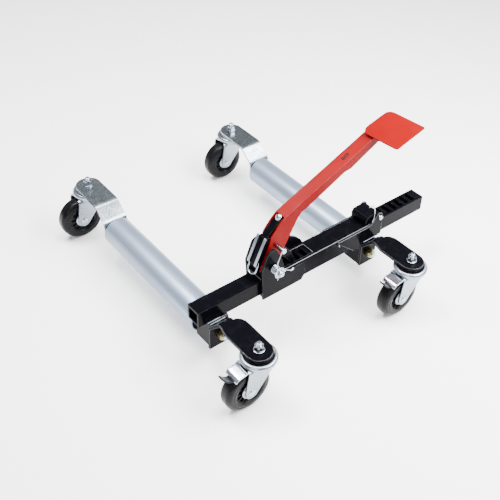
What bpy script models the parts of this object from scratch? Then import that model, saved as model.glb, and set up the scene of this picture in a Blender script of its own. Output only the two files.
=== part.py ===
"""Self-loading wheel dolly: a foot-pedal ratchet rail that squeezes two rollers under a tyre.

Metres, +Z up. +X runs along the rail and +Y along the rollers, away from the braked casters.
The two halves slide along the rail: the sleeve carries the right roller, the bar the left one.
"""

import math

import bmesh
import bpy
from mathutils import Matrix, Vector

MM = 0.001
GAP = 0.3  # clearance between pieces that touch, millimetres like every size below

# Rail: a ratchet bar sliding in a square sleeve
RAIL_HEIGHT = 122.5  # centre of the rail above the floor
BAR_SIZE = 36.0
BAR_WALL = 4.5
BAR_LENGTH = 622.0
BAR_LEFT = -252.0
SLIDE_FIT = 0.5
SLEEVE_WALL = 4.0
SLEEVE_LEFT = -103.0
SLEEVE_RIGHT = 226.0
TOOTH_PITCH = 19.0
TOOTH_SLOT = 11.0
SLOT_WIDTH = 27.0
FIRST_TOOTH = -62.0
LAST_TOOTH = 352.0
WINDOW_LEFT = -72.0
WINDOW_RIGHT = 34.0
WINDOW_WIDTH = 31.0
LOCK_WINDOW_LEFT = 185.0
LOCK_WINDOW_RIGHT = 215.0

# Rollers and what holds them
ROLLER_X = {"left": -208.0, "right": 195.0}
ROLLER_RADIUS = 33.0
ROLLER_WALL = 3.0
ROLLER_GAP = 2.5
ROLLER_FAR = 364.0
AXLE_HEIGHT = 71.0
AXLE_RADIUS = 6.0
AXLE_FIT = 0.4
NUT_ACROSS = 19.0
NUT_THICK = 10.0
BUSH_LENGTH = 14.0
BRACKET_WALL = 4.5
BRACKET_BOTTOM = 42.0
BRACKET_LENGTH = 46.0
ARM_THICK = 6.0
FAR_PLATE_THICK = 5.0

# Casters
CASTER_X = {"left": -209.0, "right": 195.7}
NEAR_REACH = 147.0
FAR_REACH = 120.0
PLATE_TOP = 127.8
ARM_HALF_WIDTH = 26.5
FAR_HALF_WIDTH = 28.0
WHEEL_RADIUS = 50.0
WHEEL_WIDTH = 32.0
TRAIL = 30.0
STUD_RADIUS = 5.0
STUD_ABOVE = 20.0
STUD_NUT_ACROSS = 17.0
RACE_RADIUS = 28.5
CROWN_RADIUS = 36.5
CROWN_BOTTOM = 103.8
LEG_FIT = 2.3
LEG_THICK = 3.0
RIVET_RADIUS = 5.0
BRAKE_THICK = 2.4
BRAKE_PIN = (-38.0, 103.4)

# Pedal
PEDAL_PIVOT = (-80.0, 172.0)
PIVOT_RADIUS = 6.0
PIVOT_FIT = 0.4
PEDAL_PLATE_THICK = 4.5
LEVER_HALF_WIDTH = 14.0
LEVER_SHEET = 3.0
ELBOW = (-44.0, 271.0)
NECK = (178.0, 367.5)
CROSS_PIN = (-66.0, 215.0)
CROSS_PIN_RADIUS = 5.0
LATCH_PIN = (-41.0, 256.0)
FOOT_CENTRE = (218.6, -26.0, 380.6)
FOOT_LENGTH = 90.0
FOOT_WIDTH = 91.0
FOOT_THICK = 3.0
FOOT_DISH = 3.0
FOOT_TILT = math.radians(8.8)
FOOT_YAW = math.radians(6.0)
SPRING_WIRE = 1.1
PAWL_HALF_WIDTH = 10.0
DRIVE_TIP_X = -14.0

# Lock at the end of the sleeve
LOCK_PIN_X = 217.0
LOCK_PIN_LIFT = 13.0
ROLLER_HEADROOM = 4.0
LOCK_PIN_RADIUS = 4.0
LOCK_PLATE_THICK = 4.0
LOCK_HALF_WIDTH = 18.5

# Worked out from the sizes above
BAR_TOP = RAIL_HEIGHT + BAR_SIZE / 2
BAR_BOTTOM = RAIL_HEIGHT - BAR_SIZE / 2
BORE_HALF = BAR_SIZE / 2 + SLIDE_FIT
SLEEVE_HALF = BORE_HALF + SLEEVE_WALL
SLEEVE_TOP = RAIL_HEIGHT + SLEEVE_HALF
SLEEVE_BOTTOM = RAIL_HEIGHT - SLEEVE_HALF
ROLLER_NEAR = SLEEVE_HALF + ROLLER_GAP
CASTER_Y = {"near": -NEAR_REACH, "far": ROLLER_FAR + FAR_REACH}
LEG_INNER = WHEEL_WIDTH / 2 + LEG_FIT
LOCK_PIN = (LOCK_PIN_X, SLEEVE_TOP + LOCK_PIN_LIFT)
PLATE_UNDER = PLATE_TOP - ARM_THICK
BRACKET_OUTER = SLEEVE_HALF
FLANGE_INNER = BRACKET_OUTER + GAP
WHEEL_HUB_HALF = LEG_INNER - 2 * GAP


def clear_scene():
    """Removes every object of the open scene."""
    for obj in list(bpy.data.objects):
        bpy.data.objects.remove(obj, do_unlink=True)


def new_collection(name, hidden=False):
    """Returns a collection linked to the scene."""
    collection = bpy.data.collections.new(name)
    bpy.context.scene.collection.children.link(collection)
    collection.hide_render = hidden
    return collection


clear_scene()
PARTS = new_collection("wheel_dolly")
GUIDES = new_collection("cutters", hidden=True)


def finish(name, colour, roughness, metallic):
    """Returns a plain Principled material."""
    material = bpy.data.materials.new(name)
    material.use_nodes = True
    shader = material.node_tree.nodes["Principled BSDF"]
    shader.inputs["Base Color"].default_value = (*colour, 1.0)
    shader.inputs["Roughness"].default_value = roughness
    shader.inputs["Metallic"].default_value = metallic
    return material


BLACK_PAINT = finish("black_paint", (0.012, 0.012, 0.014), 0.35, 0.0)
RED_PAINT = finish("red_paint", (0.80, 0.03, 0.03), 0.35, 0.0)
ROLLER_STEEL = finish("roller_steel", (0.55, 0.60, 0.68), 0.38, 1.0)
ZINC = finish("zinc_plate", (0.72, 0.75, 0.78), 0.30, 1.0)
YELLOW_ZINC = finish("yellow_zinc", (0.62, 0.55, 0.30), 0.35, 1.0)
SPRING_STEEL = finish("spring_steel", (0.60, 0.60, 0.62), 0.30, 1.0)
TYRE_RUBBER = finish("tyre_rubber", (0.02, 0.02, 0.022), 0.60, 0.0)
BUSH_PLASTIC = finish("bush_plastic", (0.03, 0.03, 0.03), 0.50, 0.0)


def body_empty(name, x=0.0, y=0.0, z=0.0, parent=None):
    """Makes the empty that a moving body hangs on, at its joint."""
    empty = bpy.data.objects.new(name, None)
    GUIDES.objects.link(empty)
    empty.location = (x * MM, y * MM, z * MM)
    hang(empty, parent)
    return empty


def hang(obj, parent):
    """Parents an object and keeps it where it stands."""
    if parent is None:
        return
    bpy.context.view_layer.update()
    obj.parent = parent
    obj.matrix_parent_inverse = parent.matrix_world.inverted()


def add_mesh(name, build, material=None):
    """Makes a mesh object from a bmesh that build() fills in."""
    mesh = bpy.data.meshes.new(name)
    shape = bmesh.new()
    build(shape)
    shape.to_mesh(mesh)
    shape.free()
    obj = bpy.data.objects.new(name, mesh)
    PARTS.objects.link(obj)
    if material:
        mesh.materials.append(material)
    return obj


def bake(obj):
    """Replaces an object's data by its evaluated mesh, with welded caps and no modifiers."""
    bpy.context.view_layer.update()
    graph = bpy.context.evaluated_depsgraph_get()
    mesh = bpy.data.meshes.new_from_object(obj.evaluated_get(graph))
    shape = bmesh.new()
    shape.from_mesh(mesh)
    bmesh.ops.remove_doubles(shape, verts=shape.verts, dist=1e-6)
    shape.to_mesh(mesh)
    shape.free()
    baked = bpy.data.objects.new(obj.name, mesh)
    baked.matrix_world = obj.matrix_world.copy()
    PARTS.objects.link(baked)
    name = obj.name
    bpy.data.objects.remove(obj, do_unlink=True)
    baked.name = name
    return baked


def combine(obj, others, operation):
    """Cuts pieces from an object, or joins them to it, with exact Booleans."""
    for other in others:
        other.hide_render = True
        other.display_type = "WIRE"
        PARTS.objects.unlink(other)
        GUIDES.objects.link(other)
        modifier = obj.modifiers.new(operation.lower(), "BOOLEAN")
        modifier.operation = operation
        modifier.object = other
    baked = bake(obj)
    for other in others:
        bpy.data.objects.remove(other, do_unlink=True)
    return baked


def cut(obj, *cutters):
    """Cuts the cutters out of an object."""
    return combine(obj, cutters, "DIFFERENCE")


def join(obj, *pieces):
    """Welds the pieces onto an object as one solid."""
    return combine(obj, pieces, "UNION")


def smooth(obj, angle=35.0):
    """Shades round faces smooth and keeps the sharp edges."""
    obj.data.shade_smooth()
    obj.data.set_sharp_from_angle(angle=math.radians(angle))
    return obj


def box(name, low, high, material=None, bevel=0.0):
    """Makes a box between two corners, with its edges rounded if bevel is given."""
    size = Vector(high) - Vector(low)
    centre = (Vector(high) + Vector(low)) / 2

    def build(shape):
        bmesh.ops.create_cube(shape, size=1.0)
        bmesh.ops.scale(shape, vec=size * MM, verts=shape.verts)

    obj = add_mesh(name, build, material)
    obj.location = centre * MM
    if bevel:
        modifier = obj.modifiers.new("bevel", "BEVEL")
        modifier.width = bevel * MM
        modifier.segments = 2
        obj = bake(obj)
    return obj


def rod(name, start, end, radius, material=None, segments=24):
    """Makes a round bar between two points."""
    start = Vector(start)
    along = Vector(end) - start

    def build(shape):
        bmesh.ops.create_cone(
            shape,
            cap_ends=True,
            segments=segments,
            radius1=radius * MM,
            radius2=radius * MM,
            depth=along.length * MM,
        )

    obj = add_mesh(name, build, material)
    obj.rotation_mode = "QUATERNION"
    obj.rotation_quaternion = Vector((0.0, 0.0, 1.0)).rotation_difference(along)
    obj.location = (start + along / 2) * MM
    return smooth(obj)


def cross_rod(name, spot, low, high, radius, material=None, segments=24):
    """Makes a round bar along Y through the point (x, z)."""
    return rod(name, (spot[0], low, spot[1]), (spot[0], high, spot[1]), radius, material, segments)


def turned(name, profile, material=None, steps=32, closed=True):
    """Turns a profile of (radius, height) points, given top to bottom on its outer side, about Z."""
    mesh = bpy.data.meshes.new(name)
    points = [(radius * MM, 0.0, height * MM) for radius, height in profile]
    edges = [(i, i + 1) for i in range(len(points) - 1)]
    if closed:
        edges.append((len(points) - 1, 0))
    mesh.from_pydata(points, edges, [])
    obj = bpy.data.objects.new(name, mesh)
    PARTS.objects.link(obj)
    if material:
        mesh.materials.append(material)
    screw = obj.modifiers.new("turn", "SCREW")
    screw.steps = steps
    screw.render_steps = steps
    screw.use_merge_vertices = True
    screw.merge_threshold = 1e-6
    return smooth(bake(obj))


def lay_along_y(obj, spot, y):
    """Stands a turned piece on the axis along Y through (x, z), its top towards -Y."""
    obj.rotation_euler = (math.radians(90.0), 0.0, 0.0)
    obj.location = (spot[0] * MM, y * MM, spot[1] * MM)
    return obj


def arc(centre, radius, start, end, count=8):
    """Returns points on an arc from start to end, in degrees."""
    points = []
    for i in range(count + 1):
        angle = math.radians(start + (end - start) * i / count)
        points.append((centre[0] + radius * math.cos(angle), centre[1] + radius * math.sin(angle)))
    return points


def flat_outline(name, outline, thickness, material=None):
    """Makes a plate in the local XY plane from a closed outline, its middle at zero height."""
    curve = bpy.data.curves.new(name, "CURVE")
    curve.dimensions = "2D"
    curve.fill_mode = "BOTH"
    curve.extrude = thickness / 2 * MM
    spline = curve.splines.new("POLY")
    spline.points.add(len(outline) - 1)
    spline.use_cyclic_u = True
    for point, (u, v) in zip(spline.points, outline):
        point.co = (u * MM, v * MM, 0.0, 1.0)
    obj = bpy.data.objects.new(name, curve)
    PARTS.objects.link(obj)
    if material:
        curve.materials.append(material)
    return bake(obj)


def side_plate(name, outline, y_low, y_high, material=None):
    """Makes a plate that stands in the XZ plane between two values of Y."""
    obj = flat_outline(name, outline, y_high - y_low, material)
    obj.rotation_euler = (math.radians(90.0), 0.0, 0.0)
    obj.location = (0.0, (y_low + y_high) / 2 * MM, 0.0)
    return obj


def rounded_path(corners, radius, count=4):
    """Returns a path through corner points with every inner corner rounded."""
    path = [Vector(corners[0])]
    for before, here, after in zip(corners, corners[1:], corners[2:]):
        here = Vector(here)
        back = (Vector(before) - here).normalized()
        ahead = (Vector(after) - here).normalized()
        reach = radius / math.tan(back.angle(ahead) / 2)
        first = here + back * reach
        last = here + ahead * reach
        for i in range(count + 1):
            t = i / count
            path.append(first.lerp(here, t).lerp(here.lerp(last, t), t))
    path.append(Vector(corners[-1]))
    return path


def strap(name, rows, thickness, material=None):
    """Makes a bent strap: each row holds two ends, and the sheet between them gets a thickness."""

    def build(shape):
        verts = [[shape.verts.new(Vector(end) * MM) for end in row] for row in rows]
        for near, far in zip(verts, verts[1:]):
            shape.faces.new((near[0], near[1], far[1], far[0]))

    obj = add_mesh(name, build, material)
    modifier = obj.modifiers.new("thickness", "SOLIDIFY")
    modifier.thickness = thickness * MM
    modifier.offset = 0.0
    modifier.use_even_offset = True
    return smooth(bake(obj), 30.0)


def wire(name, points, radius, material):
    """Makes a round wire through the points."""
    curve = bpy.data.curves.new(name, "CURVE")
    curve.dimensions = "3D"
    curve.bevel_depth = radius * MM
    curve.bevel_resolution = 2
    curve.use_fill_caps = True
    spline = curve.splines.new("POLY")
    spline.points.add(len(points) - 1)
    for point, place in zip(spline.points, points):
        point.co = (*(Vector(place) * MM), 1.0)
    obj = bpy.data.objects.new(name, curve)
    PARTS.objects.link(obj)
    curve.materials.append(material)
    return smooth(bake(obj), 60.0)


def coil(centre, radius, y_start, y_end, turns, start_angle, per_turn=10):
    """Returns points of a coil round an axis along Y, angles in degrees from +X towards +Z."""
    count = round(turns * per_turn)
    points = []
    for i in range(count + 1):
        t = i / count
        angle = math.radians(start_angle) + 2 * math.pi * turns * t
        x = centre[0] + radius * math.cos(angle)
        z = centre[1] + radius * math.sin(angle)
        points.append((x, y_start + (y_end - y_start) * t, z))
    return points


def hex_nut(name, across, thickness, bore, material):
    """Makes a hexagonal nut with chamfered corners and a bore, its axis along Z from zero height."""
    corner = across / math.sqrt(3)
    nut = turned(
        name,
        [
            (bore, thickness),
            (corner * 0.86, thickness),
            (corner * 1.02, thickness * 0.86),
            (corner * 1.02, thickness * 0.14),
            (corner * 0.86, 0),
            (bore, 0),
        ],
        material,
        steps=18,
    )
    flats = rod("flats", (0, 0, -1), (0, 0, thickness + 1), corner, segments=6)
    return combine(nut, [flats], "INTERSECT")


def build_rail(frame, bar):
    """Builds the sleeve with its windows and spring nib, and the slotted bar inside it."""
    half = SLEEVE_HALF
    sleeve = box(
        "rail_sleeve",
        (SLEEVE_LEFT, -half, SLEEVE_BOTTOM),
        (SLEEVE_RIGHT, half, SLEEVE_TOP),
        BLACK_PAINT,
        bevel=1.2,
    )
    bore = box(
        "sleeve_bore",
        (SLEEVE_LEFT - 5, -BORE_HALF, RAIL_HEIGHT - BORE_HALF),
        (SLEEVE_RIGHT + 5, BORE_HALF, RAIL_HEIGHT + BORE_HALF),
    )
    windows = []
    for left, right in ((WINDOW_LEFT, WINDOW_RIGHT), (LOCK_WINDOW_LEFT, LOCK_WINDOW_RIGHT)):
        low = (left, -WINDOW_WIDTH / 2, RAIL_HEIGHT)
        high = (right, WINDOW_WIDTH / 2, SLEEVE_TOP + 5)
        windows.append(box("window", low, high))
    sleeve = cut(sleeve, bore, *windows)
    hang(sleeve, frame)

    bar_piece = box(
        "ratchet_bar",
        (BAR_LEFT, -BAR_SIZE / 2, BAR_BOTTOM),
        (BAR_LEFT + BAR_LENGTH, BAR_SIZE / 2, BAR_TOP),
        BLACK_PAINT,
        bevel=1.0,
    )
    inner = BAR_SIZE / 2 - BAR_WALL
    hollow = box(
        "bar_hollow",
        (BAR_LEFT - 5, -inner, RAIL_HEIGHT - inner),
        (BAR_LEFT + BAR_LENGTH + 5, inner, RAIL_HEIGHT + inner),
    )
    slots = []
    for i in range(int((LAST_TOOTH - FIRST_TOOTH) / TOOTH_PITCH) + 1):
        left = FIRST_TOOTH + i * TOOTH_PITCH
        low = (left, -SLOT_WIDTH / 2 + 0.5, RAIL_HEIGHT)
        high = (left + TOOTH_SLOT, SLOT_WIDTH / 2 - 0.5, BAR_TOP + 5)
        slots.append(box("slot", low, high))
    bar_piece = cut(bar_piece, hollow, *slots)
    hang(bar_piece, bar)


def bracket_rows(x, under):
    """Returns the rows of the channel that holds a roller axle under a rail of this underside."""
    middle = BRACKET_OUTER - BRACKET_WALL / 2
    top = under - GAP - BRACKET_WALL / 2
    corners = [(-middle, BRACKET_BOTTOM), (-middle, top), (middle, top), (middle, BRACKET_BOTTOM)]
    half = BRACKET_LENGTH / 2
    rows = []
    for y, z in rounded_path(corners, 5.0, 3):
        rows.append(((x - half, y, z), (x + half, y, z)))
    return rows


def arm_rows(x):
    """Returns the rows of a near arm: a bolted flange, a rise and a flat end round the caster."""
    middle = -FLANGE_INNER - ARM_THICK / 2
    level = PLATE_TOP - ARM_THICK / 2
    stem = CASTER_Y["near"]
    flange_low, flange_high = -26.0, 20.0
    root_low, root_high = -21.0, 9.0
    corners = [(middle, BRACKET_BOTTOM), (middle, 98.0), (-53.0, level), (-60.0, level)]
    path = rounded_path(corners[:3] + [(-90.0, level)], 10.0, 3)[:-1]
    rows = []
    for y, z in path:
        t = min(max((z - 98.0) / (level - 98.0), 0.0), 1.0)
        low = flange_low + (root_low - flange_low) * t
        high = flange_high + (root_high - flange_high) * t
        rows.append(((x + low, y, z), (x + high, y, z)))
    shoulder_y = path[-1][0]
    shoulder = 24.0
    for i in range(1, 6):
        angle = math.radians(90.0 * i / 5)
        y = shoulder_y - shoulder * (1 - math.cos(angle))
        high = root_high + (ARM_HALF_WIDTH - root_high) * math.sin(angle)
        low = root_low + (-ARM_HALF_WIDTH - root_low) * (1 - math.cos(angle))
        rows.append(((x + low, y, level), (x + high, y, level)))
    rows += rounded_end(x, stem, -1.0, ARM_HALF_WIDTH, level)
    return rows


def rounded_end(x, stem, side, half, level):
    """Returns the rows of a half-round plate end about a caster stem."""
    rows = []
    for i in range(8):
        angle = math.radians(83.0 * i / 7)
        reach = half * math.cos(angle)
        y = stem + side * half * math.sin(angle)
        rows.append(((x - reach, y, level), (x + reach, y, level)))
    return rows


def far_bracket_rows(x):
    """Returns the rows of a far bracket, from its round foot up over the bend to the caster."""
    middle = ROLLER_FAR + 1.5 + FAR_PLATE_THICK / 2
    level = PLATE_TOP - FAR_PLATE_THICK / 2
    half = FAR_HALF_WIDTH
    rows = []
    for i in range(8):
        angle = math.radians(83.0 * (7 - i) / 7)
        reach = half * math.cos(angle)
        z = AXLE_HEIGHT - half * math.sin(angle)
        rows.append(((x - reach, middle, z), (x + reach, middle, z)))
    knee = CASTER_Y["far"] - 34.0
    corners = [(middle, AXLE_HEIGHT), (middle, 96.0), (middle + 36.0, level), (knee, level)]
    for y, z in rounded_path(corners, 20.0, 5)[1:-1]:
        rows.append(((x - half, y, z), (x + half, y, z)))
    rows += rounded_end(x, CASTER_Y["far"], 1.0, half, level)
    return rows


def build_roller_side(side, holder, spin):
    """Builds one roller with its bracket, axle, nuts, bushes, near arm and far bracket."""
    x = ROLLER_X[side]
    stem_x = CASTER_X[side]
    spot = (x, AXLE_HEIGHT)
    hole = AXLE_RADIUS + AXLE_FIT
    under = SLEEVE_BOTTOM if side == "right" else BAR_BOTTOM
    flange_outer = FLANGE_INNER + ARM_THICK
    far_face = ROLLER_FAR + 1.5
    far_outer = far_face + FAR_PLATE_THICK

    bracket = strap("roller_bracket_" + side, bracket_rows(x, under), BRACKET_WALL, BLACK_PAINT)
    wall_left = x - BRACKET_LENGTH / 2
    wall_half = BRACKET_OUTER - BRACKET_WALL / 2
    wall_low = (wall_left, -wall_half, BRACKET_BOTTOM)
    wall_high = (wall_left + BRACKET_WALL, wall_half, under - GAP - BRACKET_WALL / 2)
    bracket = join(bracket, box("end_wall", wall_low, wall_high))
    bracket = cut(bracket, cross_rod("hole", spot, -40, 40, hole, segments=20))

    arm = strap("near_arm_" + side, arm_rows(stem_x), ARM_THICK, BLACK_PAINT)
    near_stem = (stem_x, CASTER_Y["near"])
    axle_hole = cross_rod("hole", spot, -60, 0, hole, segments=20)
    arm = cut(arm, axle_hole, stem_hole(near_stem))

    far_plate = strap("far_bracket_" + side, far_bracket_rows(stem_x), FAR_PLATE_THICK, ZINC)
    far_hole = cross_rod("hole", spot, far_face - 10, far_outer + 10, hole, segments=20)
    far_plate = cut(far_plate, far_hole, stem_hole((stem_x, CASTER_Y["far"])))

    near_end = -flange_outer - GAP - NUT_THICK - 6.0
    far_end = far_outer + GAP + NUT_THICK + 3.0
    axle = cross_rod("roller_axle_" + side, spot, near_end, far_end, AXLE_RADIUS, ZINC, 20)
    near_nut = hex_nut(
        f"axle_nut_{side}_near", NUT_ACROSS, NUT_THICK, AXLE_RADIUS + GAP, YELLOW_ZINC
    )
    lay_along_y(near_nut, spot, -flange_outer - GAP)
    far_nut = hex_nut(f"axle_nut_{side}_far", NUT_ACROSS, NUT_THICK, AXLE_RADIUS + GAP, ZINC)
    lay_along_y(far_nut, spot, far_outer + GAP + NUT_THICK)
    for piece in (bracket, arm, far_plate, axle, near_nut, far_nut):
        hang(piece, holder)

    length = ROLLER_FAR - ROLLER_NEAR
    inner = ROLLER_RADIUS - ROLLER_WALL
    edge = 2.0
    tube = turned(
        "roller_tube_" + side,
        [
            (inner, length),
            (ROLLER_RADIUS - edge, length),
            (ROLLER_RADIUS, length - edge),
            (ROLLER_RADIUS, edge),
            (ROLLER_RADIUS - edge, 0),
            (inner, 0),
        ],
        ROLLER_STEEL,
        steps=40,
    )
    lay_along_y(tube, spot, ROLLER_FAR)
    hang(tube, spin)
    for end, y in (("near", ROLLER_NEAR + BUSH_LENGTH + 1), ("far", ROLLER_FAR - 1)):
        bush = turned(
            f"roller_bush_{side}_{end}",
            [
                (AXLE_RADIUS + AXLE_FIT, BUSH_LENGTH),
                (inner - GAP, BUSH_LENGTH),
                (inner - GAP, 0),
                (AXLE_RADIUS + AXLE_FIT, 0),
            ],
            BUSH_PLASTIC,
        )
        lay_along_y(bush, spot, y)
        hang(bush, spin)


def stem_hole(place):
    """Returns a cutter for a caster stud through a plate at (x, y)."""
    radius = STUD_RADIUS + GAP
    low = (*place, PLATE_TOP - 30)
    high = (*place, PLATE_TOP + 10)
    return rod("stem_hole", low, high, radius, segments=16)


def build_stem(tag, x, y, under, holder):
    """Builds the fixed half of a caster: the stud with its race, and its nut."""
    stem = turned(
        "caster_stem_" + tag,
        [
            (0, PLATE_TOP + STUD_ABOVE),
            (STUD_RADIUS - 1, PLATE_TOP + STUD_ABOVE),
            (STUD_RADIUS, PLATE_TOP + STUD_ABOVE - 1.2),
            (STUD_RADIUS, under - GAP),
            (RACE_RADIUS - 2, under - GAP),
            (RACE_RADIUS, under - 2.5),
            (RACE_RADIUS, 115.0),
            (RACE_RADIUS - 2, 112.6),
            (6.0, 112.6),
            (6.0, 101.6),
            (0, 101.6),
        ],
        ZINC,
        steps=24,
        closed=False,
    )
    stem.location = (x * MM, y * MM, 0)
    hang(stem, holder)
    nut = hex_nut("caster_nut_" + tag, STUD_NUT_ACROSS, 9.0, STUD_RADIUS + GAP, ZINC)
    washer = turned(
        "washer",
        [(STUD_RADIUS + GAP, 2.5), (12.0, 2.5), (12.0, 0), (STUD_RADIUS + GAP, 0)],
        steps=18,
    )
    nut.location = (0, 0, 2.0 * MM)
    nut = join(nut, washer)
    nut.location = (x * MM, y * MM, (PLATE_TOP + GAP + 2.0) * MM)
    hang(nut, holder)


def leg_outline():
    """Returns the outline of a fork leg about its stem, in (x, z)."""
    axle = (-TRAIL, WHEEL_RADIUS)
    outline = [(-30.0, 108.0), (-41.0, 106.5), (-42.5, 66.0)]
    outline += arc(axle, 14.0, 175.0, 325.0, 10)
    outline += [(8.0, 61.0), (21.0, 94.0), (27.0, 108.0)]
    return outline


def build_caster(tag, x, y, swivel, wheel_body):
    """Builds the turning half of a caster: fork, wheel and wheel rivet."""
    bore = 6.0 + GAP + 0.2
    crown = turned(
        "caster_fork_" + tag,
        [
            (bore, 112.2),
            (RACE_RADIUS + 1, 112.2),
            (RACE_RADIUS + 1, 115.2),
            (RACE_RADIUS + 2.6, 117.0),
            (CROWN_RADIUS - 1.6, 115.4),
            (CROWN_RADIUS, 112.0),
            (CROWN_RADIUS, 108.5),
            (CROWN_RADIUS - 2.2, CROWN_BOTTOM),
            (bore, CROWN_BOTTOM),
        ],
        ZINC,
        steps=28,
    )
    outer = LEG_INNER + LEG_THICK
    legs = []
    for low in (-outer, LEG_INNER):
        legs.append(side_plate("leg", leg_outline(), low, low + LEG_THICK))
    fork = join(crown, *legs)
    axle_spot = (-TRAIL, WHEEL_RADIUS)
    fork = cut(fork, cross_rod("hole", axle_spot, -30, 30, RIVET_RADIUS + GAP, segments=16))
    fork.location = (x * MM, y * MM, 0)
    hang(fork, swivel)

    half = WHEEL_WIDTH / 2
    tread = WHEEL_RADIUS
    right_side = [
        (RIVET_RADIUS + GAP, WHEEL_HUB_HALF),
        (12.0, WHEEL_HUB_HALF),
        (14.0, half - 1.5),
        (28.0, half - 2.5),
        (31.0, half - 0.4),
        (tread - 8.0, half),
        (tread - 2.4, half - 2.4),
        (tread, half - 8.0),
    ]
    left_side = [(radius, -height) for radius, height in reversed(right_side)]
    wheel = turned("caster_wheel_" + tag, right_side + left_side, TYRE_RUBBER, steps=32)
    spot = (x - TRAIL, WHEEL_RADIUS)
    lay_along_y(wheel, spot, y)
    hang(wheel, wheel_body)

    head = 8.0
    outside = outer + GAP
    rivet_side = [
        (0, outside + 2.4),
        (head - 3, outside + 2.2),
        (head, outside + 0.8),
        (head, outside),
        (RIVET_RADIUS, outside),
    ]
    rivet_other = [(radius, -height) for radius, height in reversed(rivet_side)]
    rivet = turned(
        "caster_rivet_" + tag, rivet_side + rivet_other, ZINC, steps=20, closed=False
    )
    lay_along_y(rivet, spot, y)
    hang(rivet, swivel)


def build_brake(tag, x, y, brake):
    """Builds a caster brake: a pressed cover over the wheel that ends in a toe tab."""
    pin_x, pin_z = BRAKE_PIN
    rows = []
    path = [
        (pin_x - 2.0, pin_z + 0.4, 17.5),
        (-46.0, 104.2, 17.5),
        (-54.0, 101.6, 17.5),
        (-60.0, 97.0, 17.5),
        (-63.0, 94.5, 16.0),
        (-66.0, 94.0, 8.0),
        (-75.0, 98.0, 7.0),
        (-82.0, 105.5, 7.0),
        (-86.0, 113.0, 6.0),
    ]
    for along, z, half in path:
        rows.append(((x + along, y - half, z), (x + along, y + half, z)))
    pedal = strap("brake_pedal_" + tag, rows, BRAKE_THICK, ZINC)
    half = LEG_INNER - GAP
    barrel = cross_rod("barrel", (x + pin_x, pin_z), y - half, y + half, 2.2, segments=16)
    hang(join(pedal, barrel), brake)


def pedal_plate_outline(near):
    """Returns the outline of a pedal plate: an ear round the pivot on a foot along the rail."""
    foot = SLEEVE_BOTTOM - 3.0
    outline = [(-104.0, foot), (-107.0, 150.0), (-109.0, 171.0)]
    outline += arc((-82.0, 203.0), 14.0, 160.0, 60.0, 6)
    if near:
        outline += [(-62.0, 190.0), (-48.0, 148.0), (-40.0, SLEEVE_TOP - 1.5)]
        outline += [(0.0, SLEEVE_TOP - 1.5), (6.0, 112.0), (-3.0, foot)]
    else:
        outline += [(-40.0, 203.0), (2.0, 178.0), (20.0, 167.0), (34.0, 153.0), (42.0, 138.0)]
        outline += [(42.0, 112.0), (32.0, foot)]
    return outline


def lever_outline():
    """Returns the outline of a lever cheek, from the elbow up to the neck and down to the pivot."""
    outline = [ELBOW, NECK, (213.0, 374.5), (214.0, 367.0), (190.0, 352.0)]
    outline += [(122.0, 317.0), (106.0, 315.0), (41.0, 284.0), (-4.0, 264.0), (-14.0, 252.0)]
    outline += [(-43.0, 197.0)]
    outline += arc(PEDAL_PIVOT, 21.0, 5.0, -60.0, 5)
    outline += [(-99.0, 158.5), (-103.0, 162.0), (-86.0, 205.0), (-76.0, 238.0), (-58.0, 259.0)]
    return outline


def build_pedal(frame, pedal):
    """Builds the lever with its foot plate and pins, and the plates and pin that carry it."""
    inner = SLEEVE_HALF + GAP
    outer = inner + PEDAL_PLATE_THICK
    hole = PIVOT_RADIUS + PIVOT_FIT
    for name, low, near in (("near", -outer, True), ("far", inner, False)):
        outline = pedal_plate_outline(near)
        plate = side_plate(
            "pedal_plate_" + name, outline, low, low + PEDAL_PLATE_THICK, BLACK_PAINT
        )
        plate = cut(plate, cross_rod("hole", PEDAL_PIVOT, -40, 40, hole, segments=24))
        hang(plate, frame)

    half = LEVER_HALF_WIDTH
    cheeks = []
    for low in (-half, half - LEVER_SHEET):
        cheeks.append(side_plate("cheek", lever_outline(), low, low + LEVER_SHEET))
    slope = (Vector(NECK) - Vector(ELBOW)).normalized()
    down = Vector((slope[1], -slope[0])) * LEVER_SHEET
    start = Vector(ELBOW) - slope * 1.0
    end = Vector(NECK)
    web_outline = [tuple(start), tuple(end), tuple(end + down), tuple(start + down)]
    lever = side_plate("pedal_lever", web_outline, -half + 0.5, half - 0.5, RED_PAINT)
    boss = cross_rod("boss", PEDAL_PIVOT, -inner + 2 * GAP, inner - 2 * GAP, 11.0)
    pin = cross_rod("latch_pin", LATCH_PIN, -half + 1, half - 1, 3.0, segments=16)
    lever = join(lever, *cheeks, boss, pin)
    bore = cross_rod("bore", PEDAL_PIVOT, -40, 40, hole)
    cross_hole = cross_rod("hole", CROSS_PIN, -30, 30, CROSS_PIN_RADIUS + GAP, segments=16)
    slot_spot = Vector(ELBOW).lerp(Vector(NECK), 0.72)
    slot = box("slot", (-9.0, -4.5, -8.0), (9.0, 4.5, 8.0))
    slot.rotation_euler = (0, -math.atan2(slope[1], slope[0]), 0)
    slot.location = (slot_spot[0] * MM, 0, slot_spot[1] * MM)
    lever = cut(lever, bore, cross_hole, slot)
    hang(lever, pedal)

    build_foot_plate(pedal)
    pin_piece = turned(
        "lever_cross_pin",
        [
            (0, 42.0),
            (CROSS_PIN_RADIUS, 41.5),
            (CROSS_PIN_RADIUS + 0.8, 40.5),
            (CROSS_PIN_RADIUS + 0.8, 37.0),
            (CROSS_PIN_RADIUS, 36.0),
            (CROSS_PIN_RADIUS, -half - 1.0),
            (0, -half - 1.0),
        ],
        ZINC,
        steps=20,
        closed=False,
    )
    lay_along_y(pin_piece, CROSS_PIN, 0.0)
    hang(pin_piece, pedal)
    build_pivot(frame, outer)


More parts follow.
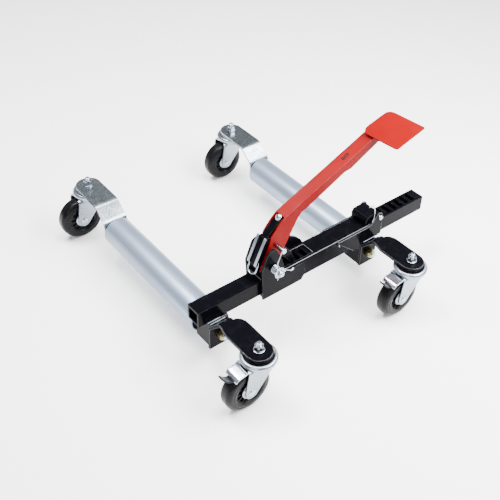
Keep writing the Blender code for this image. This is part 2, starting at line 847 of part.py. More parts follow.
def build_foot_plate(pedal):
    """Builds the dished foot plate that sits on the end of the lever."""
    length, width = FOOT_LENGTH, FOOT_WIDTH
    corner = 12.0
    rows = []
    count = 12
    for i in range(count + 1):
        along = -length / 2 + length * i / count
        to_end = length / 2 - abs(along)
        inset = 0.0
        if to_end < corner:
            inset = corner - math.sqrt(corner**2 - (corner - to_end) ** 2)
        dish = FOOT_DISH * (along / (length / 2)) ** 2
        reach = width / 2 - inset * 0.98
        rows.append(((along, -reach, -dish), (along, reach, -dish)))
    plate = strap("foot_plate", rows, FOOT_THICK, RED_PAINT)
    plate.rotation_euler = (0, -FOOT_TILT, FOOT_YAW)
    plate.location = Vector(FOOT_CENTRE) * MM
    hang(plate, pedal)


def build_pivot(frame, outer):
    """Builds the pivot pin, its washer and split pin, and the return spring on it."""
    coil_length = 16.0
    coil_start = outer + 1.5
    washer_face = coil_start + coil_length + 1.5
    pin_end = washer_face + 2.5 + 7.0
    head = outer + 6.0
    pin = turned(
        "pedal_pivot_pin",
        [
            (0, pin_end),
            (PIVOT_RADIUS - 2.5, pin_end - 0.4),
            (PIVOT_RADIUS, pin_end - 2.5),
            (PIVOT_RADIUS, -outer - GAP),
            (PIVOT_RADIUS + 3.5, -outer - GAP),
            (PIVOT_RADIUS + 3.5, -head + 1.5),
            (PIVOT_RADIUS + 2.0, -head),
            (0, -head),
        ],
        ZINC,
        steps=24,
        closed=False,
    )
    lay_along_y(pin, PEDAL_PIVOT, 0.0)
    key_y = -(washer_face + 2.5 + 2.6)
    key_radius = 1.2
    angle = math.radians(35.0)
    reach = 12.0
    centre = Vector((PEDAL_PIVOT[0], key_y, PEDAL_PIVOT[1]))
    along = Vector((math.cos(angle), 0, math.sin(angle)))
    hole = rod("hole", centre - along * reach, centre + along * reach, key_radius + GAP, segments=12)
    pin = cut(pin, hole)
    hang(pin, frame)
    washer = turned(
        "pedal_pivot_washer",
        [
            (PIVOT_RADIUS + GAP, washer_face + 1.9),
            (11.2, washer_face + 1.6),
            (12.5, washer_face + 0.9),
            (12.5, washer_face),
            (PIVOT_RADIUS + GAP, washer_face),
        ],
        ZINC,
        steps=24,
    )
    lay_along_y(washer, PEDAL_PIVOT, 0.0)
    hang(washer, frame)
    turn = Vector((-along[2], 0, along[0]))
    tail = [
        centre - along * 14.0 - turn * 5.0,
        centre - along * 10.0 - turn * 1.4,
        centre - along * 6.5,
        centre + along * 6.5,
        centre + along * 13.0,
    ]
    hang(wire("pedal_split_pin", tail, key_radius, ZINC), frame)

    radius = PIVOT_RADIUS + 1.0 + SPRING_WIRE
    start = coil(PEDAL_PIVOT, radius, -coil_start, -coil_start - coil_length, 5.25, 20.0)
    stud = Vector((CROSS_PIN[0] - CROSS_PIN_RADIUS - 2.2, -coil_start - coil_length, CROSS_PIN[1]))
    anchor = Vector((-34.0, -outer - 1.6, 141.5))
    lead = anchor.lerp(Vector(start[0]), 0.5)
    points = [anchor, lead, *start, Vector((-86.0, stud[1], 195.0)), stud]
    hang(wire("pedal_return_spring", points, SPRING_WIRE, SPRING_STEEL), frame)


def build_drive_pawl(body):
    """Builds the pawl that reaches from the lever's cross pin down to the bar."""
    tip_z = BAR_TOP + 0.6
    eye = CROSS_PIN
    tip = Vector((DRIVE_TIP_X, tip_z))
    outline = arc(eye, 8.5, 40.0, 215.0, 8)
    outline += [(-60.0, 190.0), (-34.0, 160.0), (tip[0] - 10.0, tip_z + 8.0), (tip[0] - 6.0, tip_z)]
    outline += [tuple(tip), (tip[0] + 2.0, tip_z + 9.0), (-22.0, 172.0), (-44.0, 200.0)]
    outline = outline[::-1]
    pawl = side_plate("drive_pawl", outline, -PAWL_HALF_WIDTH, PAWL_HALF_WIDTH, BLACK_PAINT)
    hole = cross_rod("hole", eye, -30, 30, CROSS_PIN_RADIUS + GAP, segments=16)
    hang(cut(pawl, hole), body)


def build_latch(latch, bail):
    """Builds the latch link inside the lever, with its channel end, its rivet and its finger loop."""
    half = PAWL_HALF_WIDTH
    link = side_plate(
        "latch_link",
        [(-36.0, 260.0), (-46.0, 264.5), (-58.0, 259.0), (-86.0, 234.0), (-78.0, 226.0)]
        + [(-50.0, 247.0), (-36.0, 251.0)],
        -half + 2.0,
        half - 2.0,
        BLACK_PAINT,
    )
    block_outline = [(-70.0, 231.0), (-88.0, 236.0), (-112.0, 180.0), (-96.0, 175.0)]
    block = side_plate("block", block_outline, -half, half)
    pocket_outline = [(-78.0, 228.0), (-100.0, 240.0), (-128.0, 176.0), (-101.0, 172.0)]
    pocket = side_plate("pocket", pocket_outline, -half + 3.0, half - 3.0)
    link = join(link, cut(block, pocket))
    pin_hole = cross_rod("hole", LATCH_PIN, -30, 30, 3.0 + GAP, segments=16)
    eye = (-105.5, 181.0)
    eye_hole = cross_rod("hole", eye, -30, 30, 1.6 + GAP, segments=12)
    link = cut(link, pin_hole, eye_hole)
    hang(link, latch)
    reach = half + 1.8
    loop = [(eye[0], -half + 4.0, eye[1]), (eye[0], -reach, eye[1])]
    for i in range(9):
        angle = math.radians(180.0 * i / 8)
        drop = 14.0 + 9.0 * math.sin(angle)
        y = -reach * math.cos(angle)
        loop.append((eye[0] - drop * 0.45, y, eye[1] - drop))
    loop += [(eye[0], reach, eye[1]), (eye[0], half - 4.0, eye[1])]
    hang(wire("latch_bail", loop, 1.6, SPRING_STEEL), bail)


def build_lock(frame, pawl_body):
    """Builds the lock at the end of the sleeve: side plates, pin, pawl and spring."""
    inner = SLEEVE_HALF + GAP
    outer = inner + LOCK_PLATE_THICK
    flange_top = BRACKET_BOTTOM + 66.0
    over_roller = AXLE_HEIGHT + ROLLER_RADIUS + ROLLER_HEADROOM
    upper = arc(LOCK_PIN, 10.0, -10.0, 150.0, 8)
    upper += [(196.0, SLEEVE_TOP + 2.0), (180.0, SLEEVE_TOP - 1.5)]
    hole_radius = LOCK_PIN_RADIUS + GAP
    for name, low, foot in (("near", -outer, flange_top), ("far", inner, over_roller)):
        outline = [(98.0, SLEEVE_TOP - 1.5), (98.0, SLEEVE_TOP - 6.0), (147.0, SLEEVE_BOTTOM - 3.0)]
        outline += [(164.0, SLEEVE_BOTTOM - 3.0), (164.0, foot), (228.0, foot)] + upper
        plate = side_plate("lock_plate_" + name, outline, low, low + LOCK_PLATE_THICK, BLACK_PAINT)
        plate = cut(plate, cross_rod("hole", LOCK_PIN, -40, 40, hole_radius, segments=16))
        hang(plate, frame)
    pin = turned(
        "lock_pin",
        [
            (0, outer + 6.0),
            (LOCK_PIN_RADIUS + 1, outer + 5.4),
            (LOCK_PIN_RADIUS + 2, outer + 4.0),
            (LOCK_PIN_RADIUS + 2, outer + GAP),
            (LOCK_PIN_RADIUS, outer + GAP),
            (LOCK_PIN_RADIUS, -outer - 3.0),
            (0, -outer - 3.0),
        ],
        ZINC,
        steps=20,
        closed=False,
    )
    lay_along_y(pin, LOCK_PIN, 0.0)
    hang(pin, frame)

    half = LOCK_HALF_WIDTH
    seat = SLEEVE_TOP + 2.0
    top = [(181.0, seat), (206.0, seat)]
    top += arc(LOCK_PIN, 7.5, -115.0, 95.0, 10)
    top += [(206.0, seat + 15.0), (184.0, seat + 14.0), (181.0, seat + 11.0)]
    pawl = side_plate("lock_pawl", top, -half, half, BLACK_PAINT)
    tip_z = BAR_TOP + 0.6
    tip_half = WINDOW_WIDTH / 2 - 2.5
    tip_outline = [(190.0, tip_z), (198.0, tip_z), (206.0, seat + 3.0), (187.5, seat + 3.0)]
    tip = side_plate("tip", tip_outline, -tip_half, tip_half)
    pawl = join(pawl, tip)
    coil_room = box("room", (207.0, -half - 1.0, seat - 7.0), (230.0, -1.0, seat + 33.0))
    pin_hole = cross_rod("hole", LOCK_PIN, -40, 40, hole_radius, segments=16)
    hang(cut(pawl, coil_room, pin_hole), pawl_body)

    radius = LOCK_PIN_RADIUS + 0.8 + SPRING_WIRE
    turns = coil(LOCK_PIN, radius, -14.5, -4.0, 3.0, 100.0)
    height = LOCK_PIN[1]
    hook = [(204.0, -17.0, height + 6.0), (211.0, -15.5, height + 7.2)]
    tail = [(208.0, -3.2, height + 10.0), (204.0, -3.2, height + 15.0), (199.0, -3.2, height + 16.0)]
    spring = wire("lock_spring", hook + turns + tail, 0.8, SPRING_STEEL)
    hang(spring, frame)


def centre_on_floor(root):
    """Moves the whole dolly so that its box stands centred on the origin."""
    bpy.context.view_layer.update()
    graph = bpy.context.evaluated_depsgraph_get()
    corners = []
    for obj in PARTS.objects:
        shape = obj.evaluated_get(graph)
        corners += [shape.matrix_world @ Vector(corner) for corner in shape.bound_box]
    low = Vector([min(corner[i] for corner in corners) for i in range(3)])
    high = Vector([max(corner[i] for corner in corners) for i in range(3)])
    root.location = (-(low[0] + high[0]) / 2, -(low[1] + high[1]) / 2, -low[2])


def main():
    """Builds every sub-assembly on its empties and centres the dolly on the floor."""
    root = body_empty("body_root")
    bar = body_empty("body_ratchet_bar", BAR_LEFT, 0, RAIL_HEIGHT, root)
    pedal = body_empty("body_pedal", PEDAL_PIVOT[0], 0, PEDAL_PIVOT[1], root)
    drive = body_empty("body_drive_pawl", CROSS_PIN[0], 0, CROSS_PIN[1], pedal)
    latch = body_empty("body_latch", LATCH_PIN[0], 0, LATCH_PIN[1], pedal)
    bail = body_empty("body_bail", -105.5, 0, 181.0, latch)
    lock = body_empty("body_lock_pawl", LOCK_PIN[0], 0, LOCK_PIN[1], root)
    build_rail(root, bar)
    build_pedal(root, pedal)
    build_drive_pawl(drive)
    build_latch(latch, bail)
    build_lock(root, lock)
    holders = {"left": bar, "right": root}
    for side, holder in holders.items():
        spin = body_empty("body_roller_" + side, ROLLER_X[side], ROLLER_NEAR, AXLE_HEIGHT, holder)
        build_roller_side(side, holder, spin)
        for end, y in CASTER_Y.items():
            tag = f"{end}_{side}"
            x = CASTER_X[side]
            under = PLATE_UNDER if end == "near" else PLATE_TOP - FAR_PLATE_THICK
            swivel = body_empty("body_swivel_" + tag, x, y, CROWN_BOTTOM, holder)
            wheel = body_empty("body_wheel_" + tag, x - TRAIL, y, WHEEL_RADIUS, swivel)
            build_stem(tag, x, y, under, holder)
            build_caster(tag, x, y, swivel, wheel)
            if end == "near":
                spot = (x + BRAKE_PIN[0], y, BRAKE_PIN[1])
                brake = body_empty("body_brake_" + tag, *spot, swivel)
                build_brake(tag, x, y, brake)
    centre_on_floor(root)


main()
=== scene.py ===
"""Looks of a ratchet wheel dolly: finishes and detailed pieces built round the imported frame.

Lengths inside the classes are millimetres in the rail's own axes: X along the rail, Y along the
rollers with the rail's middle at zero, Z up from the floor. Meshes are moved to the frame's metres
when a piece is placed.
"""

from __future__ import annotations

import logging
import math
from collections.abc import Callable, Sequence
from dataclasses import dataclass, field
from enum import Enum

import bmesh
import bpy
from mathutils import Matrix, Vector

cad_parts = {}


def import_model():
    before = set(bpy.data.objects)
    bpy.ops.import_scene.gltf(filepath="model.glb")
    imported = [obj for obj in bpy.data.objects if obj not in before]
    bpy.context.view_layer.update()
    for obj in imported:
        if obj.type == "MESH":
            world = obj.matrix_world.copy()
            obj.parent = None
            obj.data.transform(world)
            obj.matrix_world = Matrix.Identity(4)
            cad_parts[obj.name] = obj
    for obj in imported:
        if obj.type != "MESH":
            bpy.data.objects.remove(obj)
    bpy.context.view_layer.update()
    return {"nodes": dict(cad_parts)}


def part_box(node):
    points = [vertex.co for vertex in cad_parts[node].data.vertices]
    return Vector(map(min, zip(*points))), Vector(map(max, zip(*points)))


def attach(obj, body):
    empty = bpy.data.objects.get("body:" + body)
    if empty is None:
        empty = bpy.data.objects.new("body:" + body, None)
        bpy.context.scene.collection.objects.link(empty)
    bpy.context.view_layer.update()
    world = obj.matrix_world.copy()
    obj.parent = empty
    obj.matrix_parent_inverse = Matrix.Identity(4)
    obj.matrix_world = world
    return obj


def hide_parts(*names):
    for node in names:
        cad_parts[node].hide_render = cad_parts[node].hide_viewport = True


log = logging.getLogger("wheel_dolly")

MM = 0.001
FINE, PLAIN, FORMED, SOFT = 25.0, 35.0, 40.0, 60.0  # degrees: a sharper edge stays sharp
Point = tuple[float, float]
Place = tuple[float, float, float]
Row = tuple[Place, Place]
Mesh = bpy.types.Mesh
Finish = bpy.types.Material
Socket = bpy.types.NodeSocket


class Slot(Enum):
    """The record's material slots."""

    BLACK = "black_paint"
    RED = "red_paint"
    ROLLER = "roller_steel"
    ZINC = "zinc_plate"
    YELLOW = "yellow_zinc"
    SPRING = "spring_steel"
    TYRE = "tyre"
    PLASTIC = "bush_plastic"


class Side(Enum):
    """The two halves of the dolly, by where they stand along the rail."""

    LEFT = "left"
    RIGHT = "right"

    @property
    def holder(self) -> str:
        """The body that carries this half's rollers and casters."""
        return "ratchet_bar" if self is Side.LEFT else "frame"


class End(Enum):
    """The two ends of a roller: near the rail, or out past the tyre."""

    NEAR = "near"
    FAR = "far"


class NodeCode:
    """A node tree that is written in code."""

    def __init__(self, tree: bpy.types.NodeTree) -> None:
        """Takes the tree to write into."""
        self.tree = tree

    def feed(self, socket: Socket, value: object) -> None:
        """Links a socket to another one, or gives it a plain value."""
        if isinstance(value, Socket):
            self.tree.links.new(value, socket)
        else:
            socket.default_value = value

    def node(self, kind: str, *ordered: object, **named: object) -> bpy.types.Node:
        """Adds a node.

        Args:
            kind: its Blender type.
            ordered: values or sockets for its first inputs.
            named: its properties and inputs, an underscore standing for a space in an input's name.

        Returns:
            The node.
        """
        node = self.tree.nodes.new(kind)
        plain = [key for key in named if hasattr(node, key)]
        for key in plain:
            setattr(node, key, named[key])
        for i, value in enumerate(ordered):
            self.feed(node.inputs[i], value)
        for key, value in named.items():
            if key not in plain:
                self.feed(node.inputs[key.replace("_", " ")], value)
        return node


# ---------------------------------------------------------------------------- finishes


class Shading(NodeCode):
    """A material under construction, with short calls for the nodes it needs."""

    def __init__(self, name: str) -> None:
        """Starts a material of this name that holds a Principled shader."""
        self.material = bpy.data.materials.new(name)
        self.material.use_nodes = True
        super().__init__(self.material.node_tree)
        self.shader = self.tree.nodes["Principled BSDF"]
        self.place = self.node("ShaderNodeTexCoord").outputs["Object"]

    def fix(self, **values: object) -> None:
        """Sets or links the shader's inputs; an underscore in a name stands for a space."""
        for name, value in values.items():
            self.feed(self.shader.inputs[name.replace("_", " ")], value)

    def stretch(self, scale: Place) -> Socket:
        """Returns object coordinates scaled along each axis."""
        return self.node("ShaderNodeMapping", Vector=self.place, Scale=scale).outputs["Vector"]

    def noise(
        self, scale: float, detail: float = 2.0, place: Socket | None = None, rough: float = 0.5
    ) -> Socket:
        """Adds a noise texture.

        Args:
            scale: features per metre.
            detail: octaves.
            place: coordinates to read, or None for plain object coordinates.
            rough: strength of each finer octave.

        Returns:
            The noise's value socket.
        """
        spot = place or self.place
        node = self.node("ShaderNodeTexNoise", Vector=spot, Scale=scale, Detail=detail, Roughness=rough)
        return node.outputs["Fac"]

    def cells(self, scale: float) -> Socket:
        """Returns the random grey of a Voronoi pattern, for plating spangle."""
        colour = self.node("ShaderNodeTexVoronoi", Vector=self.place, Scale=scale).outputs["Color"]
        return self.node("ShaderNodeRGBToBW", colour).outputs["Val"]

    def span(self, value: Socket, low: float, high: float, start: float = 0.3, end: float = 0.7) -> Socket:
        """Maps a value that runs from start to end onto low to high."""
        return self.node("ShaderNodeMapRange", value, start, end, low, high).outputs["Result"]

    def math(self, how: str, first: Socket, second: object) -> Socket:
        """Joins two values with a maths operation."""
        return self.node("ShaderNodeMath", first, second, operation=how).outputs["Value"]

    def blend(self, amount: Socket, first: object, second: object) -> Socket:
        """Mixes two colours, each a tuple or a socket, by an amount."""
        node = self.node("ShaderNodeMix", amount, data_type="RGBA")
        for socket, colour in ((node.inputs[6], first), (node.inputs[7], second)):
            self.feed(socket, colour if isinstance(colour, Socket) else (*colour, 1.0))
        return node.outputs[2]

    def relief(self, height: Socket, depth: float) -> None:
        """Bumps the surface by a height of this depth in metres."""
        bump = self.node("ShaderNodeBump", Distance=depth, Strength=1.0, Height=height)
        self.fix(Normal=bump.outputs["Normal"])


@dataclass(frozen=True)
class SprayPaint:
    """Sprayed enamel: orange peel, a slow drift of tone, light dust and small nibs."""

    name: str
    colour: Place
    dusty: Place
    gloss: Point
    peel: float
    specular: float

    def make(self) -> Finish:
        """Builds the material."""
        shade = Shading(self.name)
        drift = shade.noise(14.0, 3.0)
        dust = shade.span(shade.noise(55.0, 5.0, rough=0.65), 0.0, 0.55, 0.48, 0.78)
        tone = shade.blend(shade.span(drift, 0.0, 1.0), self.colour, tuple(0.86 * c for c in self.colour))
        patches = shade.span(shade.noise(26.0, 4.0), *self.gloss)
        rough = shade.math("ADD", patches, shade.math("MULTIPLY", dust, 0.22))
        shade.fix(Base_Color=shade.blend(dust, tone, self.dusty), Roughness=rough)
        nibs = shade.span(shade.noise(900.0, 1.0), 0.0, 0.5, 0.66, 0.78)
        shade.relief(shade.math("ADD", shade.noise(420.0, 2.0), nibs), self.peel)
        shade.fix(Specular_IOR_Level=self.specular, IOR=1.5)
        return shade.material


@dataclass(frozen=True)
class Plating:
    """Bright metal plating: faint spangle, rolling streaks and hand marks."""

    name: str
    light: Place
    dark: Place
    gloss: Point
    spangle: float = 260.0
    streak: Place = (900.0, 60.0, 900.0)
    relief: float = 0.000025

    def make(self) -> Finish:
        """Builds the material."""
        shade = Shading(self.name)
        grain = shade.cells(self.spangle)
        lines = shade.noise(1.0, 2.0, shade.stretch(self.streak))
        marks = shade.noise(38.0, 4.0, rough=0.6)
        mixed = shade.math("MULTIPLY", shade.math("ADD", grain, lines), 0.5)
        tone = shade.blend(shade.span(mixed, 0.0, 1.0, 0.25, 0.75), self.light, self.dark)
        worn = shade.blend(shade.span(marks, 0.0, 0.45, 0.5, 0.8), tone, self.dark)
        rough = shade.span(shade.math("ADD", lines, marks), *self.gloss, 0.7, 1.3)
        shade.fix(Metallic=1.0, Base_Color=worn, Roughness=rough)
        shade.relief(shade.math("ADD", lines, grain), self.relief)
        return shade.material


@dataclass(frozen=True)
class RollerSkin:
    """Satin silver coat on drawn tube: fine lines along the tube and soft cloudy patches."""

    name: str
    light: Place
    dark: Place
    metallic: float = 0.72
    lines: Place = (700.0, 5.0, 700.0)

    def make(self) -> Finish:
        """Builds the material."""
        shade = Shading(self.name)
        shade.fix(Metallic=self.metallic, Coat_Weight=0.12, Coat_Roughness=0.3)
        drawn = shade.noise(1.0, 3.0, shade.stretch(self.lines))
        cloud = shade.noise(9.0, 4.0, rough=0.6)
        tone = shade.blend(shade.span(drawn, 0.0, 1.0, 0.2, 0.8), self.light, self.dark)
        rough = shade.span(shade.math("ADD", drawn, cloud), 0.34, 0.52, 0.7, 1.3)
        cloudy = shade.blend(shade.span(cloud, 0.0, 0.5, 0.45, 0.8), tone, self.dark)
        shade.fix(Base_Color=cloudy, Roughness=rough)
        shade.relief(drawn, 0.00003)
        return shade.material


@dataclass(frozen=True)
class Moulded:
    """Rubber or plastic from a mould: near black with fine grain and a little floor dust."""

    name: str
    colour: Place
    dusty: Place
    gloss: Point
    grain: float
    depth: float
    specular: float

    def make(self) -> Finish:
        """Builds the material."""
        shade = Shading(self.name)
        dust = shade.span(shade.noise(70.0, 5.0, rough=0.65), 0.0, 0.6, 0.5, 0.8)
        patches = shade.span(shade.noise(30.0, 3.0), *self.gloss)
        rough = shade.math("ADD", patches, shade.math("MULTIPLY", dust, 0.2))
        shade.fix(Base_Color=shade.blend(dust, self.colour, self.dusty), Roughness=rough)
        shade.relief(shade.noise(self.grain, 2.0), self.depth)
        shade.fix(Specular_IOR_Level=self.specular)
        return shade.material


def floor_finish(colour: Place) -> Finish:
    """Returns a plain matt studio floor."""
    shade = Shading("studio_floor")
    shade.fix(Base_Color=(*colour, 1.0), Roughness=0.85)
    return shade.material


class FinishSet:
    """Every finish of the dolly, made once, with a lighter edge colour for each paint by its name: worn paint
    and a painted highlight.
    """

    def __init__(self) -> None:
        """Builds the materials."""
        self.black = SprayPaint(
            "gloss_black_enamel", (0.0016, 0.0016, 0.0026), (0.005, 0.005, 0.007), (0.12, 0.26), 0.00003, 0.03
        ).make()
        self.red = SprayPaint(
            "signal_red_enamel", (0.150, 0.0, 0.0005), (0.13, 0.001, 0.0015), (0.30, 0.46), 0.00005, 0.05
        ).make()
        # Lighter paint for rounded edges: partly worn paint, partly a painted highlight of edges and creases
        # catching light.
        self.edge_wear_and_highlight = {
            self.black.name: SprayPaint(
                "black_enamel_edge_wear_and_highlight", (0.050, 0.052, 0.058), (0.09, 0.09, 0.10), (0.14, 0.24), 0.00002, 0.5
            ).make(),
            self.red.name: SprayPaint(
                "red_enamel_edge_wear_and_highlight", (0.34, 0.012, 0.014), (0.36, 0.03, 0.03), (0.22, 0.34), 0.00002, 0.4
            ).make(),
        }
        self.zinc, self.mottled, self.bright, self.yellow, self.bare_and_weld_highlight = (
            Plating(*look).make()
            for look in (
                ("satin_zinc", (0.34, 0.38, 0.43), (0.25, 0.285, 0.33), (0.24, 0.36), 900.0),
                ("mottled_zinc", (0.31, 0.345, 0.38), (0.15, 0.18, 0.20), (0.18, 0.32)),
                ("polished_zinc", (0.48, 0.53, 0.60), (0.34, 0.38, 0.44), (0.14, 0.24), 1300.0),
                ("yellow_passivate", (0.46, 0.37, 0.12), (0.22, 0.19, 0.08), (0.24, 0.42), 380.0),
                ("bare_steel_and_weld_highlight", (0.34, 0.38, 0.44), (0.20, 0.23, 0.28), (0.26, 0.44), 700.0),
            )
        )
        self.roller = RollerSkin("satin_silver_coat", (0.28, 0.34, 0.45), (0.17, 0.21, 0.28)).make()
        dusty = (0.007, 0.007, 0.009)
        self.tyre = Moulded(
            "black_tyre_rubber", (0.0018, 0.0018, 0.0024), dusty, (0.20, 0.36), 900.0, 0.00003, 0.11
        ).make()
        self.plastic = Moulded(
            "black_nylon", (0.002, 0.002, 0.003), dusty, (0.26, 0.42), 1400.0, 0.00002, 0.12
        ).make()


# ---------------------------------------------------------------------------- mesh tools


def linked(name: str, data: bpy.types.ID | None) -> bpy.types.Object:
    """Returns a new object in the scene that holds this data."""
    obj = bpy.data.objects.new(name, data)
    bpy.context.scene.collection.objects.link(obj)
    return obj


def evaluated(draft: bpy.types.Object) -> Mesh:
    """Returns a draft object's mesh with its modifiers applied, and deletes the object."""
    bpy.context.view_layer.update()
    graph = bpy.context.evaluated_depsgraph_get()
    mesh = bpy.data.meshes.new_from_object(draft.evaluated_get(graph))
    bpy.data.objects.remove(draft, do_unlink=True)
    return mesh


@dataclass
class Bench:
    """Places meshes in the frame and keeps the finishes at hand."""

    finishes: FinishSet
    nodes: dict[str, bpy.types.Object]
    rail_left: float = -252.0
    rail_bottom: float = 104.5
    rail_half: float = 18.0
    shift: Matrix = field(init=False)
    count: int = 0

    def __post_init__(self) -> None:
        """Finds where the rail's axes stand in the frame."""
        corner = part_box("ratchet_bar")[0]
        start = Vector((self.rail_left, -self.rail_half, self.rail_bottom)) * MM
        self.shift = Matrix.Translation(corner - start) @ Matrix.Scale(MM, 4)

    def place(
        self,
        name: str,
        mesh: Mesh,
        body: str,
        finish: Finish | None,
        slot: Slot,
        local: Matrix | None = None,
        angle: float = PLAIN,
        node: str = "",
    ) -> None:
        """Puts a mesh in the scene as a piece that rides on a body.

        Args:
            name: the piece's name.
            mesh: its mesh, in millimetres in the rail's axes once local is applied.
            body: the body it rides on.
            finish: its material, or None to keep the mesh's own.
            slot: the record's material slot.
            local: where it goes, in the rail's axes.
            angle: edges sharper than this many degrees stay sharp.
            node: the frame's node it replaces, if any.
        """
        mesh.transform(self.shift @ (local or Matrix.Identity(4)))
        self.settle(name, mesh, body, finish, angle, node)

    def swap(
        self, node: str, mesh: Mesh, body: str, finish: Finish, slot: Slot,
        local: Matrix | None = None, angle: float = PLAIN,
    ) -> None:
        """Places a mesh as the piece that replaces a node; arguments as place()."""
        self.place(node + "_piece", mesh, body, finish, slot, local, angle, node)

    def settle(
        self, name: str, mesh: Mesh, body: str, finish: Finish | None, angle: float, node: str
    ) -> bpy.types.Object:
        """Puts a mesh that is already in the frame's metres in the scene; arguments as place()."""
        if finish:
            mesh.materials.clear()
            mesh.materials.append(finish)
        mesh.shade_smooth()
        mesh.set_sharp_from_angle(angle=math.radians(angle))
        obj = linked(name, mesh)
        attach(obj, body)
        if node:
            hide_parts(node)
        self.count += 1
        log.info("piece %s: %d faces on %s", name, len(mesh.polygons), body)
        return obj

    def softened(
        self, node: str, body: str, finish: Finish, slot: Slot, width: float, segments: int = 2
    ) -> None:
        """Replaces a node by a copy whose edges are rounded as a shear and a drum leave them.

        Args:
            node: the frame's node.
            body: the body it rides on.
            finish: its material; a paint's rounded edges take its lighter edge colour, partly worn paint and
                partly a painted highlight.
            slot: the record's material slot; not used.
            width: the rounding in millimetres.
            segments: faces across the rounding.
        """
        mesh = self.nodes[node].data.copy()
        mesh.materials.clear()
        mesh.materials.append(finish)
        shape = bmesh.new()
        shape.from_mesh(mesh)
        bmesh.ops.remove_doubles(shape, verts=shape.verts, dist=1e-6)
        flat = math.radians(1.0)
        bmesh.ops.dissolve_limit(shape, angle_limit=flat, verts=shape.verts, edges=shape.edges)
        shape.to_mesh(mesh)
        shape.free()
        draft = linked(node + "_draft", mesh)
        bevel = draft.modifiers.new("rounding", "BEVEL")
        bevel.width = width * MM
        bevel.segments = segments
        bevel.angle_limit = math.radians(28.0)
        # The bevel faces take the paint's lighter edge colour: worn paint plus a painted highlight.
        edge_wear_highlight = self.finishes.edge_wear_and_highlight.get(finish.name)
        if edge_wear_highlight:
            mesh.materials.append(edge_wear_highlight)
            bevel.material = 1
        obj = self.settle(node + "_piece", evaluated(draft), body, None, FORMED, node)
        shading = obj.modifiers.new("even_shading", "WEIGHTED_NORMAL")
        shading.keep_sharp = True
        shading.weight = 100


def shaped(fill: Callable[[bmesh.types.BMesh], None]) -> Mesh:
    """Returns a mesh that fill() draws into, with its faces turned outwards."""
    mesh = bpy.data.meshes.new("shape")
    shape = bmesh.new()
    fill(shape)
    bmesh.ops.recalc_face_normals(shape, faces=shape.faces)
    shape.to_mesh(mesh)
    shape.free()
    return mesh


def lofted(levels: Sequence[tuple[Callable[[float], float], float]], steps: int, closed: bool) -> Mesh:
    """Joins rings about Z.

    Args:
        levels: each ring's radius as a function of the angle, and its height; a zero radius is a point.
        steps: faces round the axis.
        closed: whether the last ring joins the first.

    Returns:
        The mesh.
    """
    angles = [2 * math.pi * i / steps for i in range(steps)]

    def fill(shape: bmesh.types.BMesh) -> None:
        rings = []
        for radius, height in levels:
            spots = [(radius(a) * math.cos(a), radius(a) * math.sin(a), height) for a in angles]
            count = steps if radius(0.0) >= 1e-6 else 1
            rings.append([shape.verts.new(spot) for spot in spots[:count]])
        for first, second in zip(rings, [*rings[1:], *(rings[:1] if closed else [])]):
            for i in range(steps):
                j = (i + 1) % steps
                corners = [first[i % len(first)], first[j % len(first)]]
                corners += [second[j % len(second)], second[i % len(second)]]
                unique = list(dict.fromkeys(corners))
                if len(unique) > 2:
                    shape.faces.new(unique)

    return shaped(fill)


def corner_arc(first: Vector, corner: Vector, last: Vector, count: int) -> list[Vector]:
    """Returns a smooth bend from first to last that leans on a corner."""
    steps = [k / count for k in range(count + 1)]
    return [first.lerp(corner, t).lerp(corner.lerp(last, t), t) for t in steps]


def turned(profile: Sequence[Place], steps: int = 60, closed: bool = False, count: int = 4) -> Mesh:
    """Rounds the corners of a profile and turns it about Z.

    Args:
        profile: (radius, height, rounding) points; a radius of zero closes that end.
        steps: faces round the axis.
        closed: whether the last point joins the first.
        count: steps in each rounding.

    Returns:
        The mesh.
    """
    points = [Vector((r, h)) for r, h, _ in profile]
    spots: list[Vector] = []
    for i, (_, _, size) in enumerate(profile):
        here = points[i]
        if size <= 0 or i in (0, len(profile) - 1):
            spots.append(here)
            continue
        back, ahead = points[i - 1] - here, points[i + 1] - here
        reach = min(size, back.length * 0.49, ahead.length * 0.49)
        first, last = here + back.normalized() * reach, here + ahead.normalized() * reach
        spots += corner_arc(first, here, last, count)
    return lofted([(lambda _, r=spot.x: r, spot.y) for spot in spots], steps, closed)


def mirrored(profile: Sequence[Place]) -> list[Place]:
    """Returns a profile followed by its mirror image below Z zero."""
    return [*profile, *((radius, -height, size) for radius, height, size in reversed(profile))]


def hex_nut(across: float, thickness: float, bore: float, chamfer: float = 0.7) -> Mesh:
    """Makes a chamfered hexagon nut on Z from zero height."""
    corner = across / math.sqrt(3)

    def outer(limit: float) -> Callable[[float], float]:
        def radius(angle: float) -> float:
            sector = (angle + math.pi / 6) % (math.pi / 3) - math.pi / 6
            return min(across / 2 / math.cos(sector), limit)

        return radius

    levels = [(outer(corner * 0.94), 0.0), (outer(corner), thickness * 0.09)]
    levels += [(outer(corner), thickness * 0.88), (outer(corner * 0.90), thickness)]
    wide, tight = (lambda _: bore + chamfer), (lambda _: bore)
    levels += [(wide, thickness), (tight, thickness - chamfer), (tight, chamfer), (wide, 0)]
    return lofted(levels, 48, True)


def swept(path: Sequence[Vector], radius: float, round_faces: int = 4) -> Mesh:
    """Makes a round wire along a path with filled ends."""
    curve = bpy.data.curves.new("wire", "CURVE")
    curve.dimensions = "3D"
    curve.bevel_depth = radius
    curve.bevel_resolution = round_faces
    curve.use_fill_caps = True
    spline = curve.splines.new("POLY")
    spline.points.add(len(path) - 1)
    for point, spot in zip(spline.points, path):
        point.co = (*spot, 1.0)
    return evaluated(linked("wire", curve))


